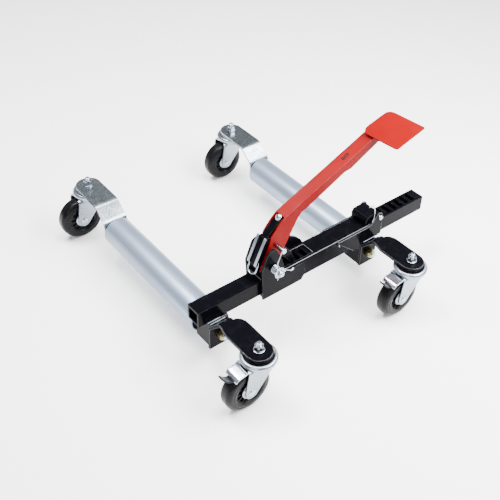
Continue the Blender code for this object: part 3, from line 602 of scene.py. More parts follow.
def smooth_path(corners: Sequence[Place | Vector], steps: int = 8) -> list[Vector]:
    """Returns a Catmull-Rom path through the corners."""
    points = [Vector(corner) for corner in corners]
    padded = [points[0] * 2 - points[1], *points, points[-1] * 2 - points[-2]]
    path = []
    for a, b, c, d in zip(padded, padded[1:], padded[2:], padded[3:]):
        square, cube = 2 * a - 5 * b + 4 * c - d, 3 * b - a - 3 * c + d
        for i in range(steps):
            t = i / steps
            path.append(0.5 * ((2 * b) + (c - a) * t + square * t**2 + cube * t**3))
    path.append(points[-1])
    return path


def joined(*meshes: Mesh) -> Mesh:
    """Joins meshes into one; their faces keep no materials."""
    shape = bmesh.new()
    for mesh in meshes:
        shape.from_mesh(mesh)
    result = bpy.data.meshes.new("joined")
    shape.to_mesh(result)
    shape.free()
    return result


def across_y(path: Sequence[Place]) -> list[Row]:
    """Returns a strip's rows across Y from (x, z, half width) points."""
    return [((x, -half, z), (x, half, z)) for x, z, half in path]


def bent_strip(rows: Sequence[Row], thickness: float, bevel: float) -> Mesh:
    """Makes pressed sheet from rows of two ends each, with a thickness and rounded edges."""
    across = 8

    def fill(shape: bmesh.types.BMesh) -> None:
        grid = []
        for low, high in rows:
            start, end = Vector(low), Vector(high)
            grid.append([shape.verts.new(start.lerp(end, k / across)) for k in range(across + 1)])
        for first, second in zip(grid, grid[1:]):
            for k in range(across):
                shape.faces.new((first[k], first[k + 1], second[k + 1], second[k]))

    return thickened(shaped(fill), thickness, bevel)


def thickened(mesh: Mesh, thickness: float, bevel: float) -> Mesh:
    """Returns a surface made into sheet of a thickness, with rounded edges."""
    obj = linked("sheet", mesh)
    solid = obj.modifiers.new("sheet", "SOLIDIFY")
    solid.thickness = thickness
    solid.offset = 0.0
    solid.use_even_offset = True
    edge = obj.modifiers.new("edge", "BEVEL")
    edge.width = bevel
    edge.segments = 3
    edge.angle_limit = math.radians(50.0)
    return evaluated(obj)


def raised(mesh: Mesh, height: float, twist: float = 0.0) -> Mesh:
    """Moves a mesh up Z, turned about it by an angle in degrees, and returns it."""
    mesh.transform(Matrix.Translation((0, 0, height)) @ Matrix.Rotation(math.radians(twist), 4, "Z"))
    return mesh


def along_y(spot: Point, y: float, turn: float = 90.0) -> Matrix:
    """Returns a turned piece's place at (x, y, z): its Z becomes -Y, or +Y for a turn of -90 degrees."""
    return Matrix.Translation((spot[0], y, spot[1])) @ Matrix.Rotation(math.radians(turn), 4, "X")


# ---------------------------------------------------------------------------- node-built pieces


class Growth(NodeCode):
    """A Geometry Nodes tree with named inputs."""

    def __init__(self, name: str) -> None:
        """Starts an empty tree of this name."""
        super().__init__(bpy.data.node_groups.new(name, "GeometryNodeTree"))
        for way in ("INPUT", "OUTPUT"):
            self.tree.interface.new_socket("Geometry", in_out=way, socket_type="NodeSocketGeometry")
        self.source = self.node("NodeGroupInput")
        self.sink = self.node("NodeGroupOutput")
        self.names: dict[str, str] = {}

    def size(self, name: str, kind: str = "Float") -> Socket:
        """Adds a named input and returns its socket."""
        item = self.tree.interface.new_socket(name, in_out="INPUT", socket_type="NodeSocket" + kind)
        self.names[name] = item.identifier
        return self.source.outputs[name]

    def close(self, geometry: Socket, finish: object) -> Growth:
        """Ends the tree in Realize Instances and Set Material, from a material or an input's socket."""
        real = self.node("GeometryNodeRealizeInstances", Geometry=geometry).outputs["Geometry"]
        dress = self.node("GeometryNodeSetMaterial", Geometry=real, Material=finish)
        self.feed(self.sink.inputs["Geometry"], dress.outputs["Geometry"])
        return self

    def spread(self, points: Socket, instance: Socket, finish: object, **turns: object) -> Growth:
        """Ends the tree in an instance on each point; turns are its Scale and Rotation."""
        kind = "GeometryNodeInstanceOnPoints"
        laid = self.node(kind, Points=points, Instance=instance, **turns)
        return self.close(laid.outputs["Instances"], finish)

    def grow(self, **sizes: object) -> Mesh:
        """Runs the tree with these sizes and returns a plain mesh."""
        obj = linked("seed", bpy.data.meshes.new("seed"))
        modifier = obj.modifiers.new("growth", "NODES")
        modifier.node_group = self.tree
        for key, value in sizes.items():
            modifier[self.names[key.replace("_", " ")]] = value
        return evaluated(obj)


class Growths:
    """The node trees that the sub-assemblies share."""

    def __init__(self, finishes: FinishSet) -> None:
        """Builds the trees."""
        self.balls = self._ball_ring(finishes.bright)
        self.bead = self._weld_bead()
        self.coil = self._helix("spring_coil", 12, finishes.bright)
        self.thread = self._helix("stud_thread", 6, finishes.bright)
        self.ribs = self._rib_ring(finishes.plastic)

    def screw(self, radius: float, pitch: float, length: float, start: float) -> Mesh:
        """Returns a screw thread on Z that begins at a height."""
        wire = 0.42
        coil = self.thread.grow(Radius=radius, Turns=length / pitch, Height=length, Wire_Radius=wire)
        return raised(coil, start)

    @staticmethod
    def _ball_ring(finish: Finish) -> Growth:
        """Balls on a ring, for a bearing race."""
        growth = Growth("race_balls")
        count, radius = growth.size("Count", "Int"), growth.size("Ring Radius")
        ring = growth.node("GeometryNodeMeshCircle", Vertices=count, Radius=radius)
        ball = growth.node("GeometryNodeMeshIcoSphere", Radius=growth.size("Ball Radius"), Subdivisions=3)
        return growth.spread(ring.outputs["Mesh"], ball.outputs["Mesh"], finish)

    @staticmethod
    def _weld_bead() -> Growth:
        """Overlapping drops of uneven size along a line, for a weld bead."""
        growth = Growth("weld_bead")
        count = growth.size("Count", "Int")
        start, end = growth.size("Start", "Vector"), growth.size("End", "Vector")
        kind = "GeometryNodeMeshLine"
        line = growth.node(kind, mode="END_POINTS", Count=count, Start_Location=start, Offset=end)
        drop = growth.node("GeometryNodeMeshIcoSphere", Radius=growth.size("Drop Radius"), Subdivisions=2)
        small, large = (0.55, 0.85, 0.55), (0.80, 1.20, 0.85)
        vary = growth.node("FunctionNodeRandomValue", small, large, data_type="FLOAT_VECTOR", Seed=7)
        finish = growth.size("Finish", "Material")
        return growth.spread(line.outputs["Mesh"], drop.outputs["Mesh"], finish, Scale=vary.outputs[0])

    @staticmethod
    def _helix(name: str, faces: int, finish: Finish) -> Growth:
        """A round wire wound on Z: springs and screw threads."""
        growth = Growth(name)
        radius = growth.size("Radius")
        line = growth.node(
            "GeometryNodeCurveSpiral", Resolution=28, Rotations=growth.size("Turns"),
            Start_Radius=radius, End_Radius=radius, Height=growth.size("Height"),
        ).outputs["Curve"]
        wire = growth.size("Wire Radius")
        ring = growth.node("GeometryNodeCurvePrimitiveCircle", Resolution=faces, Radius=wire).outputs["Curve"]
        tube = growth.node("GeometryNodeCurveToMesh", Curve=line, Profile_Curve=ring, Fill_Caps=True)
        return growth.close(tube.outputs["Mesh"], finish)

    @staticmethod
    def _rib_ring(finish: Finish) -> Growth:
        """Radial ribs about Z, for a wheel hub."""
        growth = Growth("hub_ribs")
        count = growth.size("Count", "Int")
        points = growth.node("GeometryNodeMeshLine", Count=count, Offset=(0.0, 0.0, 0.0))
        slab = growth.node("GeometryNodeMeshCube", Size=growth.size("Rib", "Vector")).outputs["Mesh"]
        out = growth.node("GeometryNodeTransform", Geometry=slab, Translation=growth.size("Out", "Vector"))
        index = growth.node("GeometryNodeInputIndex").outputs["Index"]
        step = growth.node("ShaderNodeMath", index, count, operation="DIVIDE").outputs[0]
        turn = growth.node("ShaderNodeMath", step, 2 * math.pi, operation="MULTIPLY").outputs[0]
        angles = growth.node("ShaderNodeCombineXYZ", Z=turn).outputs[0]
        return growth.spread(
            points.outputs["Mesh"], out.outputs["Geometry"], finish, Rotation=angles
        )


# ---------------------------------------------------------------------------- sub-assemblies


@dataclass
class Assembly:
    """A group of pieces made at the bench."""

    bench: Bench
    growths: Growths

    @property
    def finishes(self) -> FinishSet:
        """The bench's finishes."""
        return self.bench.finishes


@dataclass
class Rail(Assembly):
    """The ratchet bar, its sleeve, and the plates welded to them."""

    plates: tuple[str, ...] = ("pedal_plate_near", "pedal_plate_far", "lock_plate_near", "lock_plate_far")
    plug: Place = (366.0, 13.2, 2.4)

    def build(self) -> None:
        """Builds the rail's pieces."""
        black = self.finishes.black
        self.bench.softened("rail_sleeve", "frame", black, Slot.BLACK, 1.3, 3)
        self.bench.softened("ratchet_bar", "ratchet_bar", black, Slot.BLACK, 0.9, 3)
        for node in self.plates:
            self.bench.softened(node, "frame", black, Slot.BLACK, 0.8)
        self._plug()
        self._beads()

    def _plug(self) -> None:
        """Closes the bar's far end with a plate set inside it."""
        x, half, sheet = self.plug
        plug = bent_strip(across_y([(x, z, half) for z in (109.4, 118.0, 127.0, 135.6)]), sheet, 0.4)
        self.bench.place("bar_end_plug", plug, "ratchet_bar", self.finishes.plastic, Slot.PLASTIC)

    def _beads(self) -> None:
        """Lays the weld beads along the plates and arms; the bare steel on the arm and bracket beads is a
        painted highlight on black-painted welds.
        """
        black, bare_and_weld_highlight, bright = self.finishes.black, self.finishes.bare_and_weld_highlight, self.finishes.bright
        for name, body, finish, start, end, radius, count in (
            # Bare steel on the first three beads is a painted highlight on black-painted welds.
            ("weld_left_bracket", "ratchet_bar", bare_and_weld_highlight, (-232, -19.6, 105.6), (-204, -19.6, 105.6), 1.3, 24),
            ("weld_left_arm", "ratchet_bar", bare_and_weld_highlight, (-230, -25.5, 105.4), (-197, -25.5, 105.4), 1.3, 28),
            ("weld_right_arm", "frame", bare_and_weld_highlight, (176, -27.2, 108.0), (208, -27.2, 108.0), 1.2, 28),
            ("weld_pedal_plate", "frame", black, (-96, -24.2, 98.0), (-10, -24.2, 98.0), 1.5, 56),
            ("weld_lock_plate", "frame", bright, (100, -25.6, 135.4), (101.5, -25.6, 132.0), 1.9, 4),
            ("weld_spring_nib", "frame", bright, (-36, -28.2, 142.0), (-30, -28.2, 143.5), 3.0, 5),
        ):
            ends = {"Start": start, "End": end}
            mesh = self.growths.bead.grow(Count=count, Drop_Radius=radius, Finish=finish, **ends)
            self.bench.place(name, mesh, body, None, Slot.ZINC, angle=180.0)


@dataclass
class RollerSet(Assembly):
    """One roller with its tube, bushes, axle, nuts, bracket, near arm and far bracket."""

    side: Side
    x: float
    radius: float = 33.0
    wall: float = 3.0
    near: float = 25.0
    far: float = 364.0
    height: float = 71.0
    axle: float = 6.0
    nut_face: float = -29.1
    far_face: float = 370.8
    nut: float = 10.0
    nut_across: float = 19.0
    bush: float = 14.0
    pitch: float = 1.75

    @property
    def spot(self) -> Point:
        """The axle's X and Z."""
        return self.x, self.height

    def build(self) -> None:
        """Builds the roller's pieces."""
        finishes, tag = self.finishes, self.side.value
        for node, finish, slot, width in (
            (f"roller_bracket_{tag}", finishes.black, Slot.BLACK, 0.8),
            (f"near_arm_{tag}", finishes.black, Slot.BLACK, 1.0),
            (f"far_bracket_{tag}", finishes.mottled, Slot.ZINC, 0.8),
        ):
            self.bench.softened(node, self.side.holder, finish, slot, width)
        self._tube()
        self._axle()

    def _tube(self) -> None:
        """Turns the roller tube and its bushes."""
        swap, tag, bush = self.bench.swap, self.side.value, self.bush
        outer, inner, length = self.radius, self.radius - self.wall, self.far - self.near
        tube = [
            (inner, length - 4, 0), (inner, length, 0.5), (outer, length, 2.6), (outer, 0, 2.6),
            (inner, 0, 0.5), (inner, 4, 0),
        ]
        body, place = f"roller_{tag}", along_y(self.spot, self.far)
        swap(f"roller_tube_{tag}", turned(tube, 96, True, 5), body, self.finishes.roller, Slot.ROLLER, place)
        bore = self.axle + 0.4
        face = [
            (bore, bush, 0), (bore + 3, bush, 0.5), (bore + 3.6, bush - 1.4, 0.4),
            (inner - 4, bush - 1.4, 0.5), (inner - 3.2, bush, 0.5), (inner - 0.3, bush, 0.4),
            (inner - 0.3, 0, 0.4), (bore, 0, 0),
        ]
        for end, y, turn in ((End.NEAR, self.near + bush + 1, 90.0), (End.FAR, self.far - bush - 1, -90.0)):
            swap(
                f"roller_bush_{tag}_{end.value}", turned(face, 72, True), body, self.finishes.plastic,
                Slot.PLASTIC, along_y(self.spot, y, turn),
            )

    def _axle(self) -> None:
        """Turns the axle rod with its threads and puts on the nuts."""
        swap, tag, finishes, holder = self.bench.swap, self.side.value, self.finishes, self.side.holder
        near_end = self.nut_face - self.nut - 6.0
        far_end = self.far_face + self.nut + 3.0
        step, thin = -self.nut_face + 1, self.axle - 0.2
        rod = [
            (0, -near_end, 0), (self.axle, -near_end, 1.3), (self.axle, step, 0), (thin, step, 0),
            (thin, -far_end, 1.3), (0, -far_end, 0),
        ]
        runs = ((-near_end - 15.5, 15.0), (-far_end + 0.6, 13.0))
        threads = [self.growths.screw(self.axle - 0.12, self.pitch, length, start) for start, length in runs]
        axle = joined(turned(rod, 48), *threads)
        swap(f"roller_axle_{tag}", axle, holder, finishes.bright, Slot.ZINC, along_y(self.spot, 0.0))
        for end, y, finish, slot in (
            (End.NEAR, self.nut_face, finishes.yellow, Slot.YELLOW),
            (End.FAR, self.far_face + self.nut, finishes.bright, Slot.ZINC),
        ):
            nut = hex_nut(self.nut_across, self.nut, self.axle + 0.3)
            swap(f"axle_nut_{tag}_{end.value}", nut, holder, finish, slot, along_y(self.spot, y), FINE)


@dataclass
class Caster(Assembly):
    """A swivel caster: stem and race, pressed fork, wheel, rivet, and a brake at the near end."""

    side: Side
    end: End
    x: float
    y: float
    plate: float
    plate_top: float = 127.8
    stud: float = 5.0
    stud_reach: float = 20.0
    trail: float = 30.0
    wheel_radius: float = 50.0
    wheel_width: float = 32.0
    leg_inner: float = 18.3
    leg_sheet: float = 3.0
    leg_foot: float = 14.0
    leg_bend: float = 5.0
    leg_levels: tuple[float, ...] = (
        96.0, 92.0, 84.0, 76.0, 68.0, 61.0, 58.0, 54.0, 50.0, 46.0, 43.5, 41.0, 39.0, 37.5, 36.6, 36.1
    )
    crown_z: float = 105.3
    race_foot: float = 112.6
    balls: int = 34
    ball_ring: Place = (28.9, 0.8, 113.6)
    brake_pin: Point = (-38.0, 103.4)

    @property
    def tag(self) -> str:
        """The end and side that the nodes are named by."""
        return f"{self.end.value}_{self.side.value}"

    @property
    def stand(self) -> Matrix:
        """The place of the stem's foot."""
        return Matrix.Translation((self.x, self.y, 0.0))

    @property
    def hub(self) -> Matrix:
        """The place of the wheel's axis, its own Z along -Y."""
        return along_y((self.x - self.trail, self.wheel_radius), self.y)

    def build(self) -> None:
        """Builds the caster's pieces."""
        self._stem()
        self._fork()
        self._wheel()
        self._rivet()
        if self.end is End.NEAR:
            self._brake()

    def _stem(self) -> None:
        """Turns the stud with its race, thread and nut."""
        bench, finishes, tag, stud = self.bench, self.finishes, self.tag, self.stud
        holder, foot = self.side.holder, self.race_foot
        under = self.plate_top - self.plate - 0.3
        top = self.plate_top + self.stud_reach
        race = [
            (stud, under, 0), (26.8, under, 1.2), (26.8, under - 1.8, 0.5), (25.6, under - 2.1, 0.4),
            (25.6, under - 2.9, 0.4), (28.5, under - 3.1, 1.0), (28.5, foot + 2.0, 1.4), (26.5, foot, 0.6),
            (6.0, foot, 0),
        ]
        # Black on the near casters' race is painted shade under the arm plate; the same race on the far
        # casters stays zinc.
        dark = self.end is End.NEAR
        finish, slot = (finishes.black, Slot.BLACK) if dark else (finishes.zinc, Slot.ZINC)
        bench.place(f"caster_race_{tag}", turned(race, 80, True), holder, finish, slot, self.stand)
        outline = [
            (0, top, 0), (stud - 0.2, top, 1.2), (stud - 0.2, 118.0, 0), (6.0, foot, 0), (6.0, 101.6, 0.8),
            (0, 101.6, 0),
        ]
        stem = joined(turned(outline, 48), self.growths.screw(stud - 0.16, 1.5, 18.0, top - 19.0))
        bench.swap(f"caster_stem_{tag}", stem, holder, finishes.bright, Slot.ZINC, self.stand)
        seat, sheet = self.plate_top + 0.3, 2.3
        bore = stud + 0.4
        nut = raised(hex_nut(17.0, 10.4, stud + 0.3), seat + sheet, 17.0)
        washer = turned([(bore, sheet, 0), (10.8, sheet, 0.6), (10.8, 0, 0.6), (bore, 0, 0)], 60, True)
        pair = joined(nut, raised(washer, seat))
        bench.swap(f"caster_nut_{tag}", pair, holder, finishes.bright, Slot.ZINC, self.stand, FINE)

    def _leg_span(self, z: float) -> Point:
        """Returns a leg's lowest and highest X at a height, about the stem."""

        def between(below: Point, above: Point) -> float:
            t = (z - below[1]) / (above[1] - below[1])
            return below[0] + (above[0] - below[0]) * t

        foot_x, foot_z = -self.trail, self.wheel_radius
        low_top, low_foot = (-37.0, 105.0), (foot_x - self.leg_foot, 58.0)
        high_top, high_mid, high_foot = (27.5, 105.0), (21.0, 92.0), (-17.5, 43.5)
        reach = math.sqrt(max(self.leg_foot**2 - (z - foot_z) ** 2, 0.2))
        low = between(low_foot, low_top) if z >= low_foot[1] else foot_x - reach
        if z >= high_mid[1]:
            return low, between(high_mid, high_top)
        return low, between(high_foot, high_mid) if z >= high_foot[1] else foot_x + reach

    def _fork(self) -> None:
        """Presses the fork: a domed crown, two bent legs, and the balls under the race."""
        tag, top_z, bend = self.tag, self.crown_z, self.leg_bend
        crown = [
            (6.6, 112.0, 0), (29.2, 112.0, 0.6), (29.2, 117.4, 0.9), (33.2, 117.2, 1.6),
            (36.4, 113.8, 2.2), (36.4, 109.4, 1.0), (35.0, 108.0, 0.6), (34.6, 104.2, 1.4), (6.6, 103.9, 0),
        ]
        middle = self.leg_inner + self.leg_sheet / 2
        down = [(math.sin(math.radians(15.0 * i)), math.cos(math.radians(15.0 * i))) for i in range(1, 7)]
        course = [(middle - bend + bend * s, top_z - bend + bend * c) for s, c in down]
        course += [(middle, z) for z in self.leg_levels]
        legs = []
        for way in (-1.0, 1.0):
            rows = [
                ((-36.0 + (middle - y) * 0.2, way * y, top_z), (26.0, way * y, top_z))
                for y in (8.0, 12.0, middle - bend)
            ]
            for y, z in course:
                low, high = self._leg_span(z)
                rows.append(((low, way * y, z), (high, way * y, z)))
            legs.append(bent_strip(rows, self.leg_sheet, 0.7))
        fork, body = joined(turned(crown, 96, True, 5), *legs), f"swivel_{tag}"
        self.bench.swap(f"caster_fork_{tag}", fork, body, self.finishes.zinc, Slot.ZINC, self.stand, FORMED)
        ring, ball, z = self.ball_ring
        balls = self.growths.balls.grow(Count=self.balls, Ring_Radius=ring, Ball_Radius=ball)
        place = self.stand @ Matrix.Translation((0, 0, z))
        self.bench.place(f"race_balls_{tag}", balls, body, None, Slot.ZINC, place, SOFT)

    def _wheel(self) -> None:
        """Turns the tyre with its grooves, and fits the ribbed hub and its steel caps."""
        place, finishes, tag = self.bench.place, self.finishes, self.tag
        body, half = f"wheel_{tag}", self.wheel_width / 2
        tyre = [
            (28.4, half - 3.2, 0), (29.0, half - 3.2, 0.6), (30.5, half - 0.6, 0.8),
            (36.0, half + 0.2, 0.8), (38.0, half - 0.6, 0.6), (40.5, half - 0.4, 0.6),
            (44.5, half - 1.4, 2.5), (48.4, half - 4.6, 2.2), (49.5, 8.6, 0.4), (48.9, 8.1, 0.2),
            (48.9, 7.3, 0.2), (49.9, 6.8, 0.4), (self.wheel_radius, 2.0, 0.5),
        ]
        rubber = turned(mirrored(tyre), 112, True)
        node = f"caster_wheel_{tag}"
        place(f"caster_tyre_{tag}", rubber, body, finishes.tyre, Slot.TYRE, self.hub, node=node)
        core = [
            (5.4, 17.4, 0), (12.0, 17.4, 0.8), (13.4, 9.0, 1.5), (26.5, 8.0, 1.0), (28.2, 12.6, 0.8),
            (29.2, 12.6, 0),
        ]
        ribs = self.growths.ribs.grow(Count=12, Rib=(15.0, 1.8, 23.0), Out=(20.5, 0.0, 0.0))
        hub = joined(turned(mirrored(core), 80, True), ribs)
        place(f"caster_hub_{tag}", hub, body, finishes.plastic, Slot.TYRE, self.hub)
        cap = (
            (5.5, 17.5, 0), (9.0, 17.6, 0.5), (15.5, 17.2, 1.0), (18.0, 15.2, 1.0), (18.0, 13.0, 0.3),
            (5.5, 13.0, 0),
        )
        caps = [turned([(r, way * h, size) for r, h, size in cap], 72, True) for way in (-1.0, 1.0)]
        place(f"hub_caps_{tag}", joined(*caps), body, finishes.zinc, Slot.ZINC, self.hub)

    def _rivet(self) -> None:
        """Turns the wheel rivet with its two heads."""
        outer = self.leg_inner + self.leg_sheet + 0.3
        head = [
            (0, outer + 2.4, 0), (4.6, outer + 2.3, 1.6), (7.0, outer + 0.9, 1.2), (7.6, outer, 0.3),
            (5.0, outer, 0),
        ]
        rivet, body = turned(mirrored(head), 48), f"swivel_{self.tag}"
        self.bench.swap(f"caster_rivet_{self.tag}", rivet, body, self.finishes.bright, Slot.ZINC, self.hub)

    def _brake(self) -> None:
        """Presses the brake's cover and moulds its toe pad."""
        pin_x, pin_z = self.brake_pin
        cover = [
            (pin_x + 1.2, pin_z + 0.6, 17.6), (-44.0, 102.9, 17.6), (-50.0, 101.9, 17.6),
            (-55.0, 101.1, 17.6), (-57.2, 100.4, 17.6), (-59.6, 98.6, 17.5), (-61.6, 96.2, 17.2),
            (-62.6, 93.6, 16.8),
        ]
        toe = [
            (-61.5, 95.2, 9.0), (-66.0, 94.6, 9.0), (-71.0, 96.8, 8.6), (-76.0, 100.8, 8.2),
            (-81.0, 106.4, 8.0), (-84.5, 111.4, 7.0), (-86.0, 113.2, 5.6),
        ]
        body, finishes = f"brake_{self.side.value}", self.finishes
        for call, name, path, sheet, edge, finish, slot in (
            (self.bench.swap, "brake_pedal", cover, 2.2, 0.5, finishes.bright, Slot.ZINC),
            (self.bench.place, "brake_toe", toe, 3.0, 0.9, finishes.plastic, Slot.PLASTIC),
        ):
            mesh = bent_strip(across_y(path), sheet, edge)
            call(f"{name}_{self.tag}", mesh, body, finish, slot, self.stand, FORMED)


@dataclass
class Pedal(Assembly):
    """The lever with its foot plate, the latch inside it, and the pivot hardware."""

    pivot: Point = (-80.0, 172.0)
    cross_pin: Point = (-66.0, 215.0)
    latch_screw: Place = (-50.5, 0.0, 266.5)
    latch_facing: Place = (-0.72, 0.0, 0.69)
    latch_band: Point = (7.4, 13.6)
    bail_eye: Point = (-105.5, 181.0)
    bail_reach: float = 11.8
    foot_centre: Place = (218.6, -26.0, 380.6)
    foot_size: Point = (90.0, 91.0)
    foot_corners: tuple[Place, ...] = ((1, 1, 16.0), (-1, 1, 20.0), (-1, -1, 8.0), (1, -1, 5.0))
    foot_rings: tuple[float, ...] = (0.18, 0.36, 0.54, 0.70, 0.84, 0.94, 1.0)
    foot_dish: float = 3.0
    foot_tilt: float = math.radians(8.8)
    foot_yaw: float = math.radians(6.0)
    plate_outer: float = 27.3
    coil_length: float = 16.0
    coil_turns: float = 6.25
    spring_wire: float = 1.1

    def build(self) -> None:
        """Builds the pedal's pieces."""
        bench, finishes = self.bench, self.finishes
        bench.softened("pedal_lever", "pedal", finishes.red, Slot.RED, 1.1, 3)
        self._foot()
        bench.softened("drive_pawl", "drive_pawl", finishes.black, Slot.BLACK, 0.8)
        bench.softened("latch_link", "latch_link", finishes.black, Slot.BLACK, 0.6)
        self._pins()
        self._latch()
        self._return_spring()

    def _foot(self) -> None:
        """Presses the foot plate, whose corners differ in rounding and whose face is dished."""
        half_x, half_y = self.foot_size[0] / 2, self.foot_size[1] / 2
        outline: list[Vector] = []
        for way_x, way_y, radius in self.foot_corners:
            corner = Vector((way_x * half_x, way_y * half_y))
            ends = [corner - Vector((way_x * radius, 0)), corner - Vector((0, way_y * radius))]
            first, last = ends if way_x * way_y < 0 else reversed(ends)
            outline += corner_arc(first, corner, last, 8)

        def fill(shape: bmesh.types.BMesh) -> None:
            rings = []
            for scale in self.foot_rings:
                spots = [(spot.x * scale, spot.y * scale) for spot in outline]
                rings.append([shape.verts.new((x, y, -self.foot_dish * (x / half_x) ** 2)) for x, y in spots])
            centre = shape.verts.new((0, 0, 0))
            for i in range(len(outline)):
                j = (i + 1) % len(outline)
                shape.faces.new((centre, rings[0][i], rings[0][j]))
                for inner, outer in zip(rings, rings[1:]):
                    shape.faces.new((inner[i], outer[i], outer[j], inner[j]))

        turn = Matrix.Rotation(self.foot_yaw, 4, "Z") @ Matrix.Rotation(-self.foot_tilt, 4, "Y")
        place = Matrix.Translation(self.foot_centre) @ turn
        sheet = thickened(shaped(fill), 3.0, 0.9)
        self.bench.swap("foot_plate", sheet, "pedal", self.finishes.red, Slot.RED, place)

    def _pins(self) -> None:
        """Turns the cross pin, the pivot pin and its washer, and bends the split pin."""
        plate = self.plate_outer
        face = plate + 1.5 + self.coil_length + 1.5
        end, head = face + 9.5, plate + 6.0
        stud = turned(
            [
                (0, 42.0, 0), (5.6, 41.6, 1.4), (5.8, 37.0, 0.8), (4.9, 36.0, 0.3), (4.9, -15.0, 0.8),
                (0, -15.0, 0),
            ]
        )
        pin = turned(
            [
                (0, end, 0), (4.2, end - 0.5, 1.8), (5.95, end - 2.6, 1.0), (5.95, -plate - 0.4, 0),
                (9.5, -plate - 0.4, 0.6), (9.4, -head + 1.2, 1.6), (7.0, -head, 1.0), (0, -head, 0),
            ]
        )
        washer = [
            (6.2, face + 2.0, 0), (10.4, face + 1.9, 0.6), (12.4, face + 1.1, 0.6), (12.4, face, 0.4),
            (6.2, face, 0),
        ]
        for node, mesh, body, spot in (
            ("lever_cross_pin", stud, "pedal", self.cross_pin),
            ("pedal_pivot_pin", pin, "frame", self.pivot),
            ("pedal_pivot_washer", turned(washer, closed=True), "frame", self.pivot),
        ):
            self.bench.swap(node, mesh, body, self.finishes.bright, Slot.ZINC, along_y(spot, 0.0))
        self._split_pin(-(face + 5.1))

    def _split_pin(self, y: float) -> None:
        """Bends the split pin through the pivot pin's end at a value of Y."""
        angle = math.radians(35.0)
        along = Vector((math.cos(angle), 0.0, math.sin(angle)))
        turn = Vector((-along.z, 0.0, along.x))
        centre = Vector((self.pivot[0], y, self.pivot[1]))
        legs = []
        for way in (-1.0, 1.0):
            offset = Vector((0.0, way * 0.55, 0.0))
            bent = turn * (-4.6 if way > 0 else -1.6)
            corners = [
                centre - along * 14.0 + bent + offset, centre - along * 10.0 + bent * 0.35 + offset,
                centre - along * 7.0 + offset, centre + along * 7.5 + offset,
                centre + along * 10.0 + turn * way * 1.9 + offset,
                centre + along * 13.0 + turn * way * 1.2 + offset, centre + along * 13.8 + offset * 0.2,
            ]
            legs.append(swept(smooth_path(corners, 6), 0.62))
        self.bench.swap("pedal_split_pin", joined(*legs), "frame", self.finishes.bright, Slot.ZINC)

    def _latch(self) -> None:
        """Turns the latch's screw, lays the channel's bands and floor, and bends its finger loop."""
        bench, finishes = self.bench, self.finishes
        head = [(0, 3.4, 0), (3.4, 3.1, 1.2), (6.4, 1.2, 1.4), (7.2, 0, 0.4), (7.2, -0.8, 0), (0, -0.8, 0)]
        dome = turned(head)
        facing = Vector(self.latch_facing).to_track_quat("Z", "Y").to_matrix().to_4x4()
        place = Matrix.Translation(self.latch_screw) @ facing
        bench.place("latch_screw", dome, "pedal", finishes.bright, Slot.ZINC, place)
        front = [(-89.0, 237.6), (-90.8, 236.0), (-102.0, 209.6), (-113.2, 183.6), (-114.0, 180.8)]
        low, high = self.latch_band
        bands = [
            bent_strip([((x, way * low, z), (x, way * high, z)) for x, z in front], 1.4, 0.4)
            for way in (-1.0, 1.0)
        ]
        bench.place("latch_flange_bands", joined(*bands), "latch_link", finishes.bare_and_weld_highlight, Slot.SPRING)
        back = across_y([(x + 3.6, z - 1.5, 7.8) for x, z in [*front, (-115.6, 175.2)]])
        floor = bent_strip(back, 1.2, 0.3)
        bench.place("latch_channel_floor", floor, "latch_link", finishes.black, Slot.BLACK)
        x, z = self.bail_eye
        path = [(x, -6.0, z), (x, -9.5, z), (x - 0.6, -11.4, z - 1.4)]
        for i in range(13):
            angle = math.pi * i / 12
            drop = 14.0 + 9.0 * math.sin(angle)
            path.append((x - drop * 0.45, -self.bail_reach * math.cos(angle), z - drop))
        path += [(x - 0.6, 11.4, z - 1.4), (x, 9.5, z), (x, 6.0, z)]
        bail = swept(smooth_path(path, 4), 1.6, 5)
        bench.swap("latch_bail", bail, "latch_bail", finishes.bright, Slot.SPRING)

    def _return_spring(self) -> None:
        """Winds the return spring round the pivot pin, with a leg to each of its anchors."""
        wire, length = self.spring_wire, self.coil_length
        start = self.plate_outer + 1.5
        radius = 6.0 + 1.0 + wire
        coil = self.growths.coil.grow(Radius=radius, Turns=self.coil_turns, Height=length, Wire_Radius=wire)
        turn = Matrix.Rotation(math.radians(20.0), 4, "Z")
        coil.transform(along_y(self.pivot, 0.0) @ Matrix.Translation((0, 0, start)) @ turn)
        first, last = self._coil_end(coil, -start), self._coil_end(coil, -start - length)
        anchor = Vector((-34.0, -self.plate_outer - 1.6, 141.5))
        lead = swept([anchor, anchor.lerp(first, 0.5), first], wire)
        stud = (self.cross_pin[0] - 6.9, -40.6, self.cross_pin[1] + 1.0)
        tail = swept(smooth_path([last, (-84.0, -start - length + 1.5, 192.0), stud]), wire)
        spring = joined(coil, lead, tail)
        self.bench.swap("pedal_return_spring", spring, "frame", self.finishes.bright, Slot.SPRING, None, SOFT)

    @staticmethod
    def _coil_end(coil: Mesh, y: float) -> Vector:
        """Returns the middle of the coil's cap nearest to a value of Y."""
        points = [vertex.co for vertex in coil.vertices]
        nearest = sorted(points, key=lambda point: abs(point.y - y))[:12]
        return sum(nearest, Vector()) / len(nearest)


